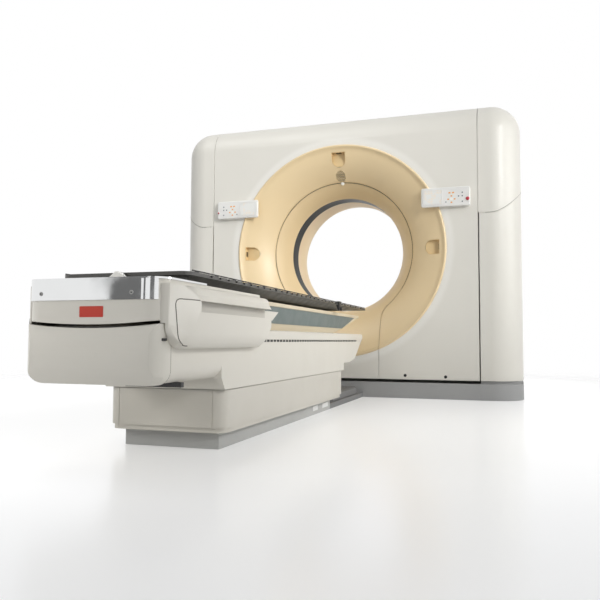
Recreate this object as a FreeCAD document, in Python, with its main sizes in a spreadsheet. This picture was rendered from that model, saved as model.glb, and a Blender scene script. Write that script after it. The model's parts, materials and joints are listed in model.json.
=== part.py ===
import FreeCAD, Part
import math
import os
import Sketcher
from types import SimpleNamespace

# Large-bore CT scanner: a tilting gantry between two side towers, and the patient table in front of it.
# Millimetres, +Z up. The origin is the floor point under the isocentre: X runs across, +Y runs from
# the table into the bore, and Z = 0 is the floor. The rest pose has the table lowered and drawn out.

SIZES = [
    # gantry outline
    ("bore_radius", 425, "patient opening"),
    ("drum_radius", 860, "rotor rim, which sets the gantry's size"),
    ("drum_floor_gap", 48, "under the rotor"),
    ("drum_roof_gap", 127, "over the rotor"),
    ("drum_side_gap", 55, "beside the rotor, to the frame cheek"),
    ("front_depth", 340, "scan plane to the flat front face"),
    ("rear_depth", 590, "scan plane to the rear face"),
    ("corner_round", 200, "rounding of the outer corners"),
    ("cover_wall", 6, "moulded cover thickness"),
    ("cheek_cover_gap", 17, "frame cheek to the centre's side"),
    ("tower_gap", 8, "slot between the centre and a tower"),
    ("post_gap", 55, "tower cover to the post"),
    ("post_outer_gap", 105, "post to the outer side"),
    ("seam", 3, "joint line between covers"),
    ("hairline", 0.3, "running clearance"),
    ("ridge_setback", 180, "front face to the joint on the roof"),
    ("belly_start", 200, "scan plane to where the underside rises"),
    ("belly_rise", 135, "rise of the underside at the rear"),
    ("dome_radius", 400, "round tower top about the tilt axis"),
    ("dome_gap", 3, "tower top to the side cap"),
    # floor parts of the gantry
    ("plinth_height", 105, "grey plinth"),
    ("plinth_proud", 30, "plinth ahead of the tower face"),
    ("plinth_wall", 4, "plinth sheet"),
    ("shadow_gap", 20, "recess between plinth and covers"),
    ("shadow_inset", 10, "depth of that recess"),
    ("frame_height", 25, "floor frame"),
    ("pad_half_depth", 300, "tower pad along Y"),
    ("pad_side_gap", 10, "tower cover to the pad"),
    ("pad_outer_gap", 53.8, "pad to the outer side"),
    ("beam_inner", 190, "cross beams, near edge"),
    ("beam_outer", 250, "cross beams, far edge"),
    ("spine_half_width", 150, "plate between the cross beams"),
    ("anchor_radius", 9, "floor anchor hole"),
    ("anchor_reach_x", 50, "half the anchor spacing across"),
    ("anchor_reach_y", 270, "half the anchor spacing along"),
    # tilt bearings and the tilting frame
    ("post_thickness", 110, "tower post plate box"),
    ("post_foot", 220, "half length of the post foot"),
    ("post_head", 130, "radius of the post head"),
    ("bearing_bore", 70, "bearing seat in the post"),
    ("trunnion_radius", 45, "tilt pin"),
    ("trunnion_hole", 62, "clearance hole in the covers"),
    ("cheek_thick", 40, "frame cheek"),
    ("cheek_reach", 160, "half height of the cheek"),
    ("cheek_front", 70, "scan plane to the cheek's front end"),
    ("frame_front", 175, "scan plane to the frame plate"),
    ("frame_plate", 40, "frame plate thickness"),
    ("frame_corner", 120, "cut corner of the plate"),
    ("frame_hole", 560, "ring opening in the plate"),
    ("strut_radius", 22, "cover strut"),
    ("strut_inset_x", 15, "strut inside the cheek"),
    ("strut_inset_z", 140, "strut inside the rotor's height"),
    ("gearbox_radius", 95, "tilt gearbox"),
    ("gearbox_depth", 60, "tilt gearbox along X"),
    ("gear_motor_radius", 44, "tilt motor"),
    ("gear_motor_length", 240, "tilt motor"),
    # dish, funnel, tunnel
    ("dish_radius", 765, "outer rim of the dish"),
    ("trumpet_radius", 437, "curve of the dish and funnel"),
    ("funnel_seam_radius", 515, "joint between dish and funnel"),
    ("tongue_half_width", 297, "funnel's lower tongue"),
    ("tongue_blend", 120, "curve from ring to tongue"),
    ("rim_width", 23, "rounded bead round the dish"),
    ("rim_rise", 8, "bead ahead of the flat front"),
    ("rim_flange", 20, "dish edge behind the cover"),
    ("rim_neck", 15, "start of the flange inside the rim"),
    ("halo_width", 40, "soft step round the dish"),
    ("halo_depth", 3, "depth of that step"),
    ("window_front", 67, "scan plane to the window's front"),
    ("window_rear", 60, "scan plane to the window's rear"),
    ("window_wall", 3, "scan window film"),
    ("tunnel_rear", 220, "end of the straight tunnel"),
    ("mouth_radius", 600, "rear mouth"),
    ("mouth_flange", 25, "rear funnel edge behind the cover"),
    # controls and lights on the front
    ("panel_side_gap", 47, "panel to the centre's side"),
    ("panel_length", 325, "control panel"),
    ("panel_rise", 264, "iso up to the panel's lower edge"),
    ("panel_width", 131, "control panel"),
    ("panel_depth", 38, "panel thickness"),
    ("panel_round", 14, "panel corner"),
    ("panel_bevel", 4, "panel front edge"),
    ("display_width", 120, "display glass"),
    ("display_margin", 18, "display inside the panel"),
    ("display_thick", 1.5, "display glass"),
    ("scoop_flat", 713, "iso to the flat end of a light recess"),
    ("scoop_waist", 652, "iso to where the sides end"),
    ("scoop_half_width", 48, "light recess"),
    ("scoop_curve", 50, "round end of a light recess"),
    ("scoop_wall", 3, "light recess cup"),
    ("scoop_floor", 50, "front face to the recess floor"),
    ("lens_half_width", 18, "laser window"),
    ("lens_height", 22, "laser window"),
    ("lens_thick", 3, "laser window"),
    ("speaker_radius", 36, "speaker grille"),
    ("speaker_reach", 555, "iso to the speaker"),
    ("speaker_wall", 4, "speaker grille"),
    ("slot_height", 3, "speaker slot"),
    ("slot_pitch", 9, "speaker slots"),
    # rotor
    ("drum_wall", 15, "rotor rim"),
    ("drum_front", 100, "scan plane to the rim's front"),
    ("drum_plate_front", 95, "scan plane to the rotor plate"),
    ("drum_plate", 25, "rotor plate"),
    ("hub_radius", 455, "clear opening of the rotor"),
    ("hub_wall", 12, "rotor hub"),
    ("hub_rear", 240, "scan plane to the hub's end"),
    ("race_inner", 500, "inner race, inside"),
    ("race_middle", 540, "race running line"),
    ("race_outer", 600, "outer race, outside"),
    ("race_width", 45, "inner race"),
    ("ring_height", 18, "slip ring"),
    ("ring_front", 178, "scan plane to the slip ring"),
    ("ring_width", 18, "one slip ring track"),
    ("ring_groove", 5, "groove between tracks"),
    ("ring_tracks", 2, "slip ring tracks"),
    ("brush_half_width", 60, "brush block"),
    ("brush_front", 186, "scan plane to the brush block"),
    ("brush_depth", 27, "brush block"),
    ("brush_reach", 556.5, "iso to the block's outer end"),
    ("tube_rim_gap", 15, "tube housing to the rotor rim"),
    ("focus_drop", 90, "tube axis down to the focal spot"),
    ("tube_radius", 95, "tube housing"),
    ("tube_front", 125, "scan plane to the tube's front"),
    ("tube_neck", 42, "cable socket on the tube"),
    ("tube_neck_length", 40, "cable socket on the tube"),
    ("collimator_gap", 7, "focal spot to the collimator"),
    ("collimator_height", 93, "collimator"),
    ("collimator_half", 66, "upper half width"),
    ("collimator_nose", 44, "lower half width"),
    ("collimator_front", 45, "scan plane to its front"),
    ("detector_drop", 538, "iso down to the detector"),
    ("detector_thick", 52, "detector modules"),
    ("detector_half", 40, "half the detector width"),
    ("detector_sine", 0.465, "sine of half the fan angle"),
    ("generator_rim_gap", 45, "generator to the rotor rim"),
    ("generator_width", 240, "generator"),
    ("generator_half", 180, "half height"),
    ("generator_front", 90, "scan plane to its front"),
    ("cooler_rim_gap", 65, "cooler to the rotor rim"),
    ("cooler_height", 190, "cooler"),
    ("cooler_half", 120, "half length"),
    ("cooler_front", 80, "scan plane to its front"),
    ("fin_pitch", 24, "cooling fins"),
    ("fin_gap", 12, "space between fins"),
    ("fin_depth", 30, "cooling fins"),
    # rotor drive
    ("pulley_rim_gap", 130, "rotor rim to the motor axis"),
    ("pulley_radius", 60, "motor pulley"),
    ("pulley_flange", 6, "pulley rim above the belt seat"),
    ("belt_front", 42, "scan plane to the belt"),
    ("belt_width", 26, "belt"),
    ("belt_thick", 5, "belt"),
    ("shaft_radius", 15, "motor shaft"),
    ("shaft_entry", 20, "shaft inside the motor"),
    ("motor_radius", 80, "drive motor"),
    ("motor_front", 78, "scan plane to the motor"),
    # table base
    ("plinth_half", 190, "table plinth"),
    ("plinth_foot", 2710, "table plinth, foot end"),
    ("plinth_joint", 1226, "table plinth, head end"),
    ("table_plinth_height", 62, "table plinth"),
    ("table_plinth_wall", 5, "table plinth"),
    ("base_plate", 15, "table base plate"),
    ("base_plate_half", 180, "table base plate"),
    ("table_anchor_x", 145, "half the anchor spacing across"),
    ("table_anchor_y", 600, "half the anchor spacing along"),
    ("table_anchor_radius", 8, "table anchor hole"),
    ("base_half", 237, "base cover"),
    ("base_foot", 2760, "base cover, foot end"),
    ("base_head", 1110, "base cover, head end"),
    ("base_top", 213, "base cover, top edge"),
    ("base_lip", 18, "set-back lip at the bottom"),
    ("base_lip_inset", 8, "set-back lip at the bottom"),
    ("base_wall", 4, "base cover sheet"),
    ("base_round", 48, "base cover corners"),
    ("base_ledge", 150, "inner edge of the bottom flange"),
    ("panel_joint", 188, "vertical joints on the foot end"),
    ("joint_groove", 2, "depth and width of those joints"),
    ("duct_height", 30, "floor cable duct"),
    ("duct_lid", 75, "raised duct lid"),
    ("duct_lid_half", 165, "raised duct lid"),
    ("duct_lid_foot", 1100, "raised duct lid, table end"),
    ("duct_lid_head", 420, "raised duct lid, gantry end"),
    ("duct_round", 40, "raised duct lid"),
    # table lift
    ("column_middle", 1935, "scan plane to the lift column"),
    ("column_half_x", 110, "outer column tube"),
    ("column_half_y", 260, "outer column tube"),
    ("column_wall", 10, "column tubes"),
    ("column_slip", 2, "clearance between tubes"),
    ("column_top", 330, "outer tube's top"),
    ("column_step", 10, "each inner tube reaches this much higher"),
    ("skirt_wall", 3, "telescopic skirts"),
    ("skirt_slip", 4, "base cover to the lower skirt"),
    ("skirt_step", 2, "clearance between skirts"),
    ("skirt_lower_top", 268, "lower skirt, top"),
    ("skirt_upper_top", 398, "upper skirt, top"),
    # table body
    ("body_half", 240, "table body"),
    ("body_top", 430, "table body"),
    ("body_gap", 3, "base cover to the body"),
    ("body_wall", 5, "table body sheet"),
    ("body_seam", 3153, "scan plane to the foot cover joint"),
    ("body_nose", 604, "scan plane to the body's head end"),
    ("body_nose_low", 405, "height of the nose edge"),
    ("body_slant_foot", 824, "slanted head end, lower edge"),
    ("body_slant_low", 276, "height of that edge"),
    ("body_overhang", 258, "underside beyond the base"),
    ("body_step_foot", 2800, "underside step, foot end"),
    ("body_step_head", 1100, "underside step, head end"),
    ("body_step_run", 30, "slope of the foot end step"),
    ("body_edge", 10, "body edge rounding"),
    ("track_low", 381, "side slot"),
    ("track_high", 391, "side slot"),
    ("track_foot", 3100, "side slot, foot end"),
    ("track_head", 770, "side slot, head end"),
    ("foot_face", 3228, "scan plane to the foot cover"),
    ("foot_low", 254, "foot cover, lower edge"),
    ("foot_high", 436, "foot cover, upper corners"),
    ("foot_dip", 14, "dip of the upper edge in the middle"),
    ("foot_round", 66, "foot cover corners"),
    ("foot_low_round", 46, "lower long edges of the foot end"),
    ("foot_curve", 142, "bulge of the foot cover"),
    ("foot_setback_low", 40, "lower edge behind the bulge"),
    ("foot_setback_high", 26, "upper edge behind the bulge"),
    ("chassis_half", 200, "body chassis rails"),
    ("chassis_rail", 40, "rail width"),
    ("chassis_low", 401, "rail underside"),
    ("chassis_foot", 3120, "chassis, foot end"),
    ("chassis_head", 900, "chassis, head end"),
    # support beam under the tabletop
    ("support_half", 205, "beam top flange"),
    ("support_top", 552, "beam top"),
    ("support_flange", 16, "flange edge"),
    ("support_web_high", 200, "web, upper"),
    ("support_web_low", 186, "web, lower"),
    ("support_foot_half", 168, "beam foot"),
    ("support_web_base", 462, "web, lower edge height"),
    ("support_foot", 3040, "beam, foot end"),
    ("beam_wall", 10, "beam wall"),
    ("support_nose", 566, "beam, head tip"),
    ("support_slant", 1100, "slanted nose, lower end"),
    ("inlay_thick", 2.5, "side panel sheet"),
    ("inlay_foot", 2900, "side panel, foot end"),
    ("inlay_head_high", 668, "side panel, upper head corner"),
    ("inlay_head_low", 945, "side panel, lower head corner"),
    ("pad_foot", 760, "slide pad, foot end"),
    ("pad_head", 700, "slide pad, head end"),
    ("pad_half", 90, "slide pad"),
    # carriage
    ("carriage_face", 3215, "scan plane to the carriage's foot end"),
    ("carriage_head", 2450, "scan plane to the carriage's head end"),
    ("carriage_edge_low", 446, "lower edge of the end wall, sides"),
    ("carriage_dip", 13, "dip of that edge in the middle"),
    ("carriage_wall", 6, "carriage cover"),
    ("carriage_round", 65, "carriage corners"),
    ("deck_top", 566, "carriage deck"),
    ("deck_thick", 8, "carriage deck"),
    ("sleeve_gap", 3, "beam to the sleeve beside it"),
    ("sleeve_low", 470, "sleeve beside the beam, lower edge"),
    ("sleeve_high", 508, "that sleeve, upper edge"),
    ("sleeve_low_end", 2290, "sleeve, lower end"),
    ("sleeve_high_end", 2215, "sleeve, upper end"),
    ("band_low", 505, "steel band"),
    ("band_thick", 3, "steel band"),
    ("band_end", 3199, "steel band, where it ends in the corners"),
    ("rail_end", 2928, "polished side rail, head end"),
    ("rail_high", 572, "polished side rail, top"),
    ("rail_width", 15, "polished side rail"),
    ("flank_foot", 3192, "side cover, foot end"),
    ("flank_outer", 290, "side cover, widest"),
    ("flank_bar", 280, "side cover's upper bar"),
    ("flank_top", 552, "side cover"),
    ("flank_shoulder", 262, "flat top of the side cover"),
    ("flank_low", 362, "side cover, lower edge"),
    ("flank_low_x", 266, "lower edge, outside"),
    ("flank_belly", 410, "where the side cover turns in"),
    ("flank_turn", 60, "curve at the bottom"),
    ("flank_shoulder_curve", 26, "curve at the top"),
    ("grip_low", 473, "finger groove"),
    ("grip_high", 508, "finger groove"),
    ("grip_floor", 262, "finger groove, floor"),
    ("grip_foot", 3058, "finger groove, foot end"),
    ("flank_wrap", 216, "where the side cover's foot end wraps to"),
    ("flank_neck", 231, "side cover at its foot end"),
    ("pouch_foot", 3142, "foot end of the pouch"),
    ("nose_start", 3128, "where the foot end starts to round"),
    ("nose_round", 76, "foot end in plan"),
    ("pouch_edge", 251, "pouch at its foot end"),
    ("fold_depth", 40, "rise of the pouch's facet"),
    ("fold_run", 76, "length of that rise"),
    ("flank_sweep", 76, "round lower corner at the foot end"),
    ("flank_rake", 80, "rake of the head end"),
    ("flank_rake_high", 440, "height where the rake starts"),
    ("flank_wall", 6, "side cover sheet"),
    ("runner_length", 60, "runner in the side slot"),
    ("runner_reach", 231, "runner's inner end"),
    # tabletop and its fittings
    ("top_height", 603.5, "tabletop surface, lowered"),
    ("top_plate", 12, "tabletop plate"),
    ("top_half", 239, "tabletop"),
    ("top_rib_half", 225, "beam under the plate, upper"),
    ("top_rib_low", 190, "beam under the plate, lower"),
    ("top_foot", 3045, "tabletop, foot end"),
    ("top_head", 470, "tabletop, head tip"),
    ("top_taper", 1130, "where the underside starts to rise"),
    ("top_corner", 38, "tabletop corners"),
    ("notch_pitch", 70, "indexing notches"),
    ("notch_length", 22, "indexing notch"),
    ("notch_depth", 7, "indexing notch"),
    ("notch_deep", 8, "indexing notch, down from the top"),
    ("notch_count", 34, "notches a side"),
    ("notch_first", 2900, "first notch from the scan plane"),
    ("clamp_middle", 1215, "scan plane to the clamp"),
    ("clamp_half", 22, "clamp body"),
    ("clamp_jaw", 8, "clamp jaws"),
    ("clamp_bite", 16, "jaw over the plate"),
    ("clamp_web", 10, "clamp outer wall"),
    ("clamp_pin", 5, "lever pin"),
    ("clamp_drop", 34, "lever pin below the tabletop"),
    ("lever_length", 46, "clamp lever"),
    ("lever_thick", 9, "clamp lever"),
    ("lever_width", 14, "clamp lever"),
    ("latch_width", 104, "tabletop end block"),
    ("latch_tip", 5, "tabletop end block, half its top"),
    ("latch_height", 38, "tabletop end block"),
    ("latch_depth", 24, "tabletop end block"),
    ("latch_back", 10, "end block behind the tabletop"),
]


# a size or a sum of sizes, with the sheet formula that it comes from
class Term:
    def __init__(self, value, text):
        self.value = value
        self.text = text

    def __add__(self, other):
        other = term(other)
        return Term(self.value + other.value, f"({self.text} + {other.text})")

    def __sub__(self, other):
        other = term(other)
        return Term(self.value - other.value, f"({self.text} - {other.text})")

    def __mul__(self, other):
        other = term(other)
        return Term(self.value * other.value, f"({self.text} * {other.text})")

    def __truediv__(self, other):
        other = term(other)
        return Term(self.value / other.value, f"({self.text} / {other.text})")

    def __neg__(self):
        return Term(-self.value, f"(0 - {self.text})")

    __radd__ = __add__
    __rmul__ = __mul__

    def __rsub__(self, other):
        return term(other) - self


def term(number):
    if isinstance(number, Term):
        return number
    return Term(float(number), repr(float(number)))


def root(number):
    return Term(math.sqrt(number.value), f"sqrt({number.text})")


doc = FreeCAD.newDocument("ct_scanner")
sheet = doc.addObject("Spreadsheet::Sheet", "sizes")
for row, (alias, value, note) in enumerate(SIZES, start=1):
    sheet.set(f"A{row}", alias)
    sheet.set(f"B{row}", str(value))
    sheet.setAlias(f"B{row}", alias)
    sheet.set(f"C{row}", note)
d = SimpleNamespace(**{alias: Term(float(value), f"sizes.{alias}") for alias, value, note in SIZES})

# sizes that follow from the ones above
d.iso_height = d.plinth_height + d.shadow_gap + d.drum_floor_gap + d.drum_radius
d.gantry_top = d.iso_height + d.drum_radius + d.drum_roof_gap
d.cheek_inner = d.drum_radius + d.drum_side_gap
d.cheek_outer = d.cheek_inner + d.cheek_thick
d.centre_half_width = d.cheek_outer + d.cheek_cover_gap
d.post_inner = d.centre_half_width + d.tower_gap + d.post_gap
d.gantry_half_width = d.post_inner + d.post_thickness + d.post_outer_gap
d.pad_inner = d.centre_half_width + d.tower_gap + d.pad_side_gap
d.frame_half_width = d.gantry_half_width - d.pad_outer_gap
d.anchor_middle = d.post_inner + d.post_thickness / 2
d.frame_reach = d.drum_radius - d.seam
d.strut_x = d.cheek_inner - d.strut_inset_x
d.strut_level = d.drum_radius - d.strut_inset_z
d.panel_outer = d.centre_half_width - d.panel_side_gap
d.panel_inner = d.panel_outer - d.panel_length
d.panel_low = d.iso_height + d.panel_rise
d.panel_high = d.panel_low + d.panel_width
d.tube_reach = d.drum_radius - d.drum_wall - d.tube_rim_gap - d.tube_radius
d.focus_reach = d.tube_reach - d.focus_drop
d.collimator_high = d.focus_reach - d.collimator_gap
d.collimator_low = d.collimator_high - d.collimator_height
d.detector_radius = d.focus_reach + d.detector_drop
d.generator_outer = d.drum_radius - d.drum_wall - d.generator_rim_gap
d.generator_inner = d.generator_outer - d.generator_width
d.cooler_outer = d.drum_radius - d.drum_wall - d.cooler_rim_gap
d.cooler_inner = d.cooler_outer - d.cooler_height
d.pulley_distance = d.drum_radius + d.pulley_rim_gap

BORE_LINE = FreeCAD.Vector(0, 1, 0)
BORE_UP = FreeCAD.Vector(0, 0, 1)
ACROSS = FreeCAD.Vector(1, 0, 0)
SQUARE = 2 ** 0.5
ACROSS = FreeCAD.Vector(1, 0, 0)
UPWARD = FreeCAD.Vector(0, 0, 1)
AXIS_TURN = {
    "X": FreeCAD.Rotation(UPWARD, ACROSS),
    "Y": FreeCAD.Rotation(UPWARD, BORE_LINE),
    "Z": FreeCAD.Rotation(),
}
WIDE = 10000


def bind(thing, prop, number):
    if "sizes." in number.text:
        thing.setExpression(prop, number.text)


def place(thing, x, y, z, turn=None):
    spot = [term(x), term(y), term(z)]
    base = FreeCAD.Vector(*[number.value for number in spot])
    thing.Placement = FreeCAD.Placement(base, turn or FreeCAD.Rotation())
    for letter, number in zip("xyz", spot):
        bind(thing, f".Placement.Base.{letter}", number)
    return thing


def block(name, x_range, y_range, z_range):
    thing = doc.addObject("Part::Box", name)
    lows = [term(pair[0]) for pair in (x_range, y_range, z_range)]
    highs = [term(pair[1]) for pair in (x_range, y_range, z_range)]
    for prop, low, high in zip(("Length", "Width", "Height"), lows, highs):
        length = high - low
        setattr(thing, prop, length.value)
        bind(thing, prop, length)
    return place(thing, *lows)


def rod(name, axis, start, radius, length):
    thing = doc.addObject("Part::Cylinder", name)
    thing.Radius = term(radius).value
    thing.Height = term(length).value
    bind(thing, "Radius", term(radius))
    bind(thing, "Height", term(length))
    return place(thing, *start, AXIS_TURN[axis])


def fuse(name, *things):
    result = doc.addObject("Part::MultiFuse", name)
    result.Shapes = list(things)
    return result


def common(name, *things):
    result = doc.addObject("Part::MultiCommon", name)
    result.Shapes = list(things)
    return result


def cut(name, base, *tools):
    result = doc.addObject("Part::Cut", name)
    result.Base = base
    result.Tool = tools[0] if len(tools) == 1 else fuse(f"{name}_tools", *tools)
    return result


def mirrored(name, source):
    result = doc.addObject("Part::Mirroring", name)
    result.Source = source
    result.Normal = ACROSS
    return result


def group(name, *things):
    result = doc.addObject("Part::Compound", name)
    result.Links = list(things)
    return result


# an outline is a list of corners: (x, y) after a straight side, (x, y, radius, bend) after an arc,
# bend +1 for a left turn and -1 for a right turn, doubled for an arc of over half a circle
def arc_between(start, end, radius, bend):
    chord = FreeCAD.Vector(end[0] - start[0], end[1] - start[1], 0)
    half = chord.Length / 2
    height = math.sqrt(max(radius * radius - half * half, 0))
    side = math.copysign(1, bend) * (1 if abs(bend) == 1 else -1)
    left = FreeCAD.Vector(-chord.y, chord.x, 0).normalize()
    middle = FreeCAD.Vector(start[0] + chord.x / 2, start[1] + chord.y / 2, 0)
    centre = middle + left * (height * side)
    angles = [math.atan2(point[1] - centre.y, point[0] - centre.x) for point in (start, end)]
    if bend < 0:
        angles.reverse()
    circle = Part.Circle(centre, UPWARD, radius)
    return Part.ArcOfCircle(circle, angles[0], angles[1])


def draw(sketch, outline):
    corners = [(term(corner[0]), term(corner[1])) for corner in outline]
    points = [(x.value, y.value) for x, y in corners]
    first_ends = []
    last_ends = []
    for index, corner in enumerate(outline):
        start = points[index - 1]
        end = points[index]
        if len(corner) == 2:
            line = Part.LineSegment(FreeCAD.Vector(*start, 0), FreeCAD.Vector(*end, 0))
            sketch.addGeometry(line)
            bend = 1
        else:
            bend = corner[3]
            sketch.addGeometry(arc_between(start, end, term(corner[2]).value, bend))
        first_ends.append(1 if bend > 0 else 2)
        last_ends.append(2 if bend > 0 else 1)
    for index in range(len(outline)):
        joint = Sketcher.Constraint("Coincident", index - 1 if index else len(outline) - 1,
                                    last_ends[index - 1], index, first_ends[index])
        sketch.addConstraint(joint)
    for index, (x, y) in enumerate(corners):
        for kind, number in (("DistanceX", x), ("DistanceY", y)):
            rule = Sketcher.Constraint(kind, -1, 1, index, last_ends[index], number.value)
            bind(sketch, f"Constraints[{sketch.addConstraint(rule)}]", number)
    for index, corner in enumerate(outline):
        if len(corner) == 4:
            radius = term(corner[2])
            rule = Sketcher.Constraint("Radius", index, radius.value)
            bind(sketch, f"Constraints[{sketch.addConstraint(rule)}]", radius)


def new_sketch(body, plane, outline, offset=0):
    role = f"{plane}_Plane"
    support = [item for item in body.Origin.OriginFeatures if item.Role == role][0]
    sketch = body.newObject("Sketcher::SketchObject", f"{body.Label}_outline")
    sketch.AttachmentSupport = [(support, "")]
    sketch.MapMode = "FlatFace"
    offset = term(offset)
    sketch.AttachmentOffset = FreeCAD.Placement(UPWARD * offset.value, FreeCAD.Rotation())
    bind(sketch, ".AttachmentOffset.Base.z", offset)
    draw(sketch, outline)
    return sketch


# a padded outline between two places on the axis across its plane
def prism(name, plane, outline, low, high, turn=None, lift=0):
    body = doc.addObject("PartDesign::Body", name)
    low = term(low)
    high = term(high)
    offset = -high if plane == "XZ" else low
    sketch = new_sketch(body, plane, outline, offset)
    pad = body.newObject("PartDesign::Pad", f"{name}_pad")
    pad.Profile = sketch
    pad.Length = (high - low).value
    bind(pad, "Length", high - low)
    return place(body, 0, 0, lift, turn)


# an outline of radius and Y, turned about a line along Y
def turned(name, outline, x=0, z=None):
    body = doc.addObject("PartDesign::Body", name)
    sketch = new_sketch(body, "XY", outline)
    turn = body.newObject("PartDesign::Revolution", f"{name}_turn")
    turn.Profile = sketch
    turn.ReferenceAxis = (sketch, ["V_Axis"])
    turn.Angle = 360
    return place(body, x, 0, d.iso_height if z is None else z)


def round_edges(body, radius, wanted, kind="Fillet"):
    doc.recompute()
    base = body.Tip
    names = [f"Edge{index}" for index, edge in enumerate(base.Shape.Edges, start=1) if wanted(edge.BoundBox)]
    feature = body.newObject(f"PartDesign::{kind}", f"{body.Label}_{kind.lower()}")
    feature.Base = (base, names)
    prop = "Radius" if kind == "Fillet" else "Size"
    setattr(feature, prop, radius.value)
    bind(feature, prop, radius)
    return body


def upright(box):
    return box.XLength < 0.01 and box.YLength < 0.01


def rectangle(x_low, x_high, y_low, y_high):
    return [(x_low, y_low), (x_high, y_low), (x_high, y_high), (x_low, y_high)]


def rounded_rectangle(x_low, x_high, y_low, y_high, radius):
    return [
        (x_low, y_low + radius), (x_low + radius, y_low, radius, 1),
        (x_high - radius, y_low), (x_high, y_low + radius, radius, 1),
        (x_high, y_high - radius), (x_high - radius, y_high, radius, 1),
        (x_low + radius, y_high), (x_low, y_high - radius, radius, 1),
    ]


# the upright block that the gantry covers are cut from, with rounded corners and roof edges
def cover_form(name, inset, bottom, kind):
    half = d.gantry_half_width - inset
    top = d.gantry_top - inset
    outline = rectangle(-half, half, inset - d.front_depth, d.rear_depth - inset)
    body = prism(name, "XY", outline, bottom, top)
    return round_edges(body, d.corner_round - inset,
                       lambda box: upright(box) or box.ZMin > top.value - 0.01, kind)


cover_bottom = d.plinth_height + d.shadow_gap
front_face = -d.front_depth
front_inside = d.cover_wall - d.front_depth
rear_inside = d.rear_depth - d.cover_wall
tower_inner = d.centre_half_width + d.tower_gap
ridge = d.ridge_setback - d.front_depth
column_low = d.base_plate + d.hairline
base_ledge_top = d.table_plinth_height + d.base_lip + d.base_wall


# ---- gantry floor parts ----

def floor_frame():
    pieces = []
    for side in (-1, 1):
        ends = sorted((d.pad_inner * side, d.frame_half_width * side), key=lambda end: end.value)
        pieces.append(block("tower_pad", ends, (-d.pad_half_depth, d.pad_half_depth), (0, d.frame_height)))
    for side in (-1, 1):
        ends = sorted((d.beam_inner * side, d.beam_outer * side), key=lambda end: end.value)
        pieces.append(block("cross_beam", (-d.pad_inner, d.pad_inner), ends, (0, d.frame_height)))
    pieces.append(block("spine", (-d.spine_half_width, d.spine_half_width),
                        (-d.beam_inner, d.beam_inner), (0, d.frame_height)))
    holes = []
    for side in (-1, 1):
        for across in (-1, 1):
            for along in (-1, 1):
                spot = (d.anchor_middle * side + d.anchor_reach_x * across, d.anchor_reach_y * along, -1)
                holes.append(rod("anchor_hole", "Z", spot, d.anchor_radius, d.frame_height + 2))
    return cut("base_frame", fuse("frame_weldment", *pieces), *holes)


def side_plinth():
    depth = d.front_depth + d.plinth_proud
    inner = d.centre_half_width + d.hairline
    outline = rectangle(-d.gantry_half_width, d.gantry_half_width, -depth, depth)
    outer = round_edges(prism("plinth_form", "XY", outline, 0, d.plinth_height), d.corner_round, upright)
    half = d.gantry_half_width - d.plinth_wall
    core = rectangle(-half, half, d.plinth_wall - depth, depth - d.plinth_wall)
    core = prism("plinth_core", "XY", core, -1, d.plinth_height - d.plinth_wall)
    core = round_edges(core, d.corner_round - d.plinth_wall, upright)
    tub = cut("plinth_tub", outer, core)
    half = d.gantry_half_width - d.shadow_inset
    depth = d.front_depth - d.shadow_inset
    neck = prism("neck_form", "XY", rectangle(-half, half, -depth, depth), d.plinth_height - d.plinth_wall,
                 cover_bottom)
    neck = round_edges(neck, d.corner_round - d.shadow_inset, upright)
    half = half - d.shadow_inset
    depth = depth - d.shadow_inset
    opening = prism("opening_form", "XY", rectangle(-half, half, -depth, depth), -1, cover_bottom + 1)
    opening = round_edges(opening, d.corner_round - d.shadow_inset * 2, upright)
    opening = common("plinth_opening", opening, block("opening_side", (tower_inner + d.shadow_inset * 2, WIDE),
                                                      (-WIDE, WIDE), (-WIDE, WIDE)))
    keep = block("right_side", (inner, WIDE), (-WIDE, WIDE), (-WIDE, WIDE))
    ring = cut("neck_ring", common("neck_right", neck, block("neck_side", (tower_inner, WIDE),
                                                             (-WIDE, WIDE), (-WIDE, WIDE))), opening)
    body = cut("plinth_body", common("plinth_half_tub", tub, keep), opening)
    return fuse("plinth_right", body, ring)


def centre_plinths():
    half = d.centre_half_width
    depth = d.front_depth + d.plinth_proud
    sheet_y = d.plinth_wall - depth
    lip = -d.front_depth - d.hairline * 10
    front = prism("plinth_front_sheet", "YZ", [
        (-depth, 0), (sheet_y, 0), (sheet_y, d.plinth_height - d.plinth_wall),
        (lip, d.plinth_height - d.plinth_wall), (lip, d.plinth_height), (-depth, d.plinth_height)],
        -half, half)
    rear = prism("plinth_rear_sheet", "YZ", [
        (-sheet_y, 0), (depth, 0), (depth, d.plinth_height), (-lip, d.plinth_height),
        (-lip, d.plinth_height - d.plinth_wall), (-sheet_y, d.plinth_height - d.plinth_wall)],
        -half, half)
    return group("plinth_panels", front, rear)


def tower_post():
    foot = d.frame_height
    reach = d.post_head
    outline = [
        (-d.post_foot, foot), (d.post_foot, foot), (reach, d.iso_height),
        (-reach, d.iso_height, reach * 1.0001, 1)]
    post = prism("post_plate", "YZ", outline, d.post_inner, d.post_inner + d.post_thickness)
    window_low = foot + d.post_head
    window_high = d.iso_height - d.post_head - d.bearing_bore
    window = prism("post_window", "YZ", [
        (-d.post_foot * 0.6, window_low), (d.post_foot * 0.6, window_low),
        (reach * 0.5, window_high), (-reach * 0.5, window_high)],
        d.post_inner - 1, d.post_inner + d.post_thickness + 1)
    seat = rod("bearing_seat", "X", (d.post_inner - 1, 0, d.iso_height), d.bearing_bore, d.post_thickness + 2)
    return cut("tower_post_right", post, window, seat)


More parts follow.
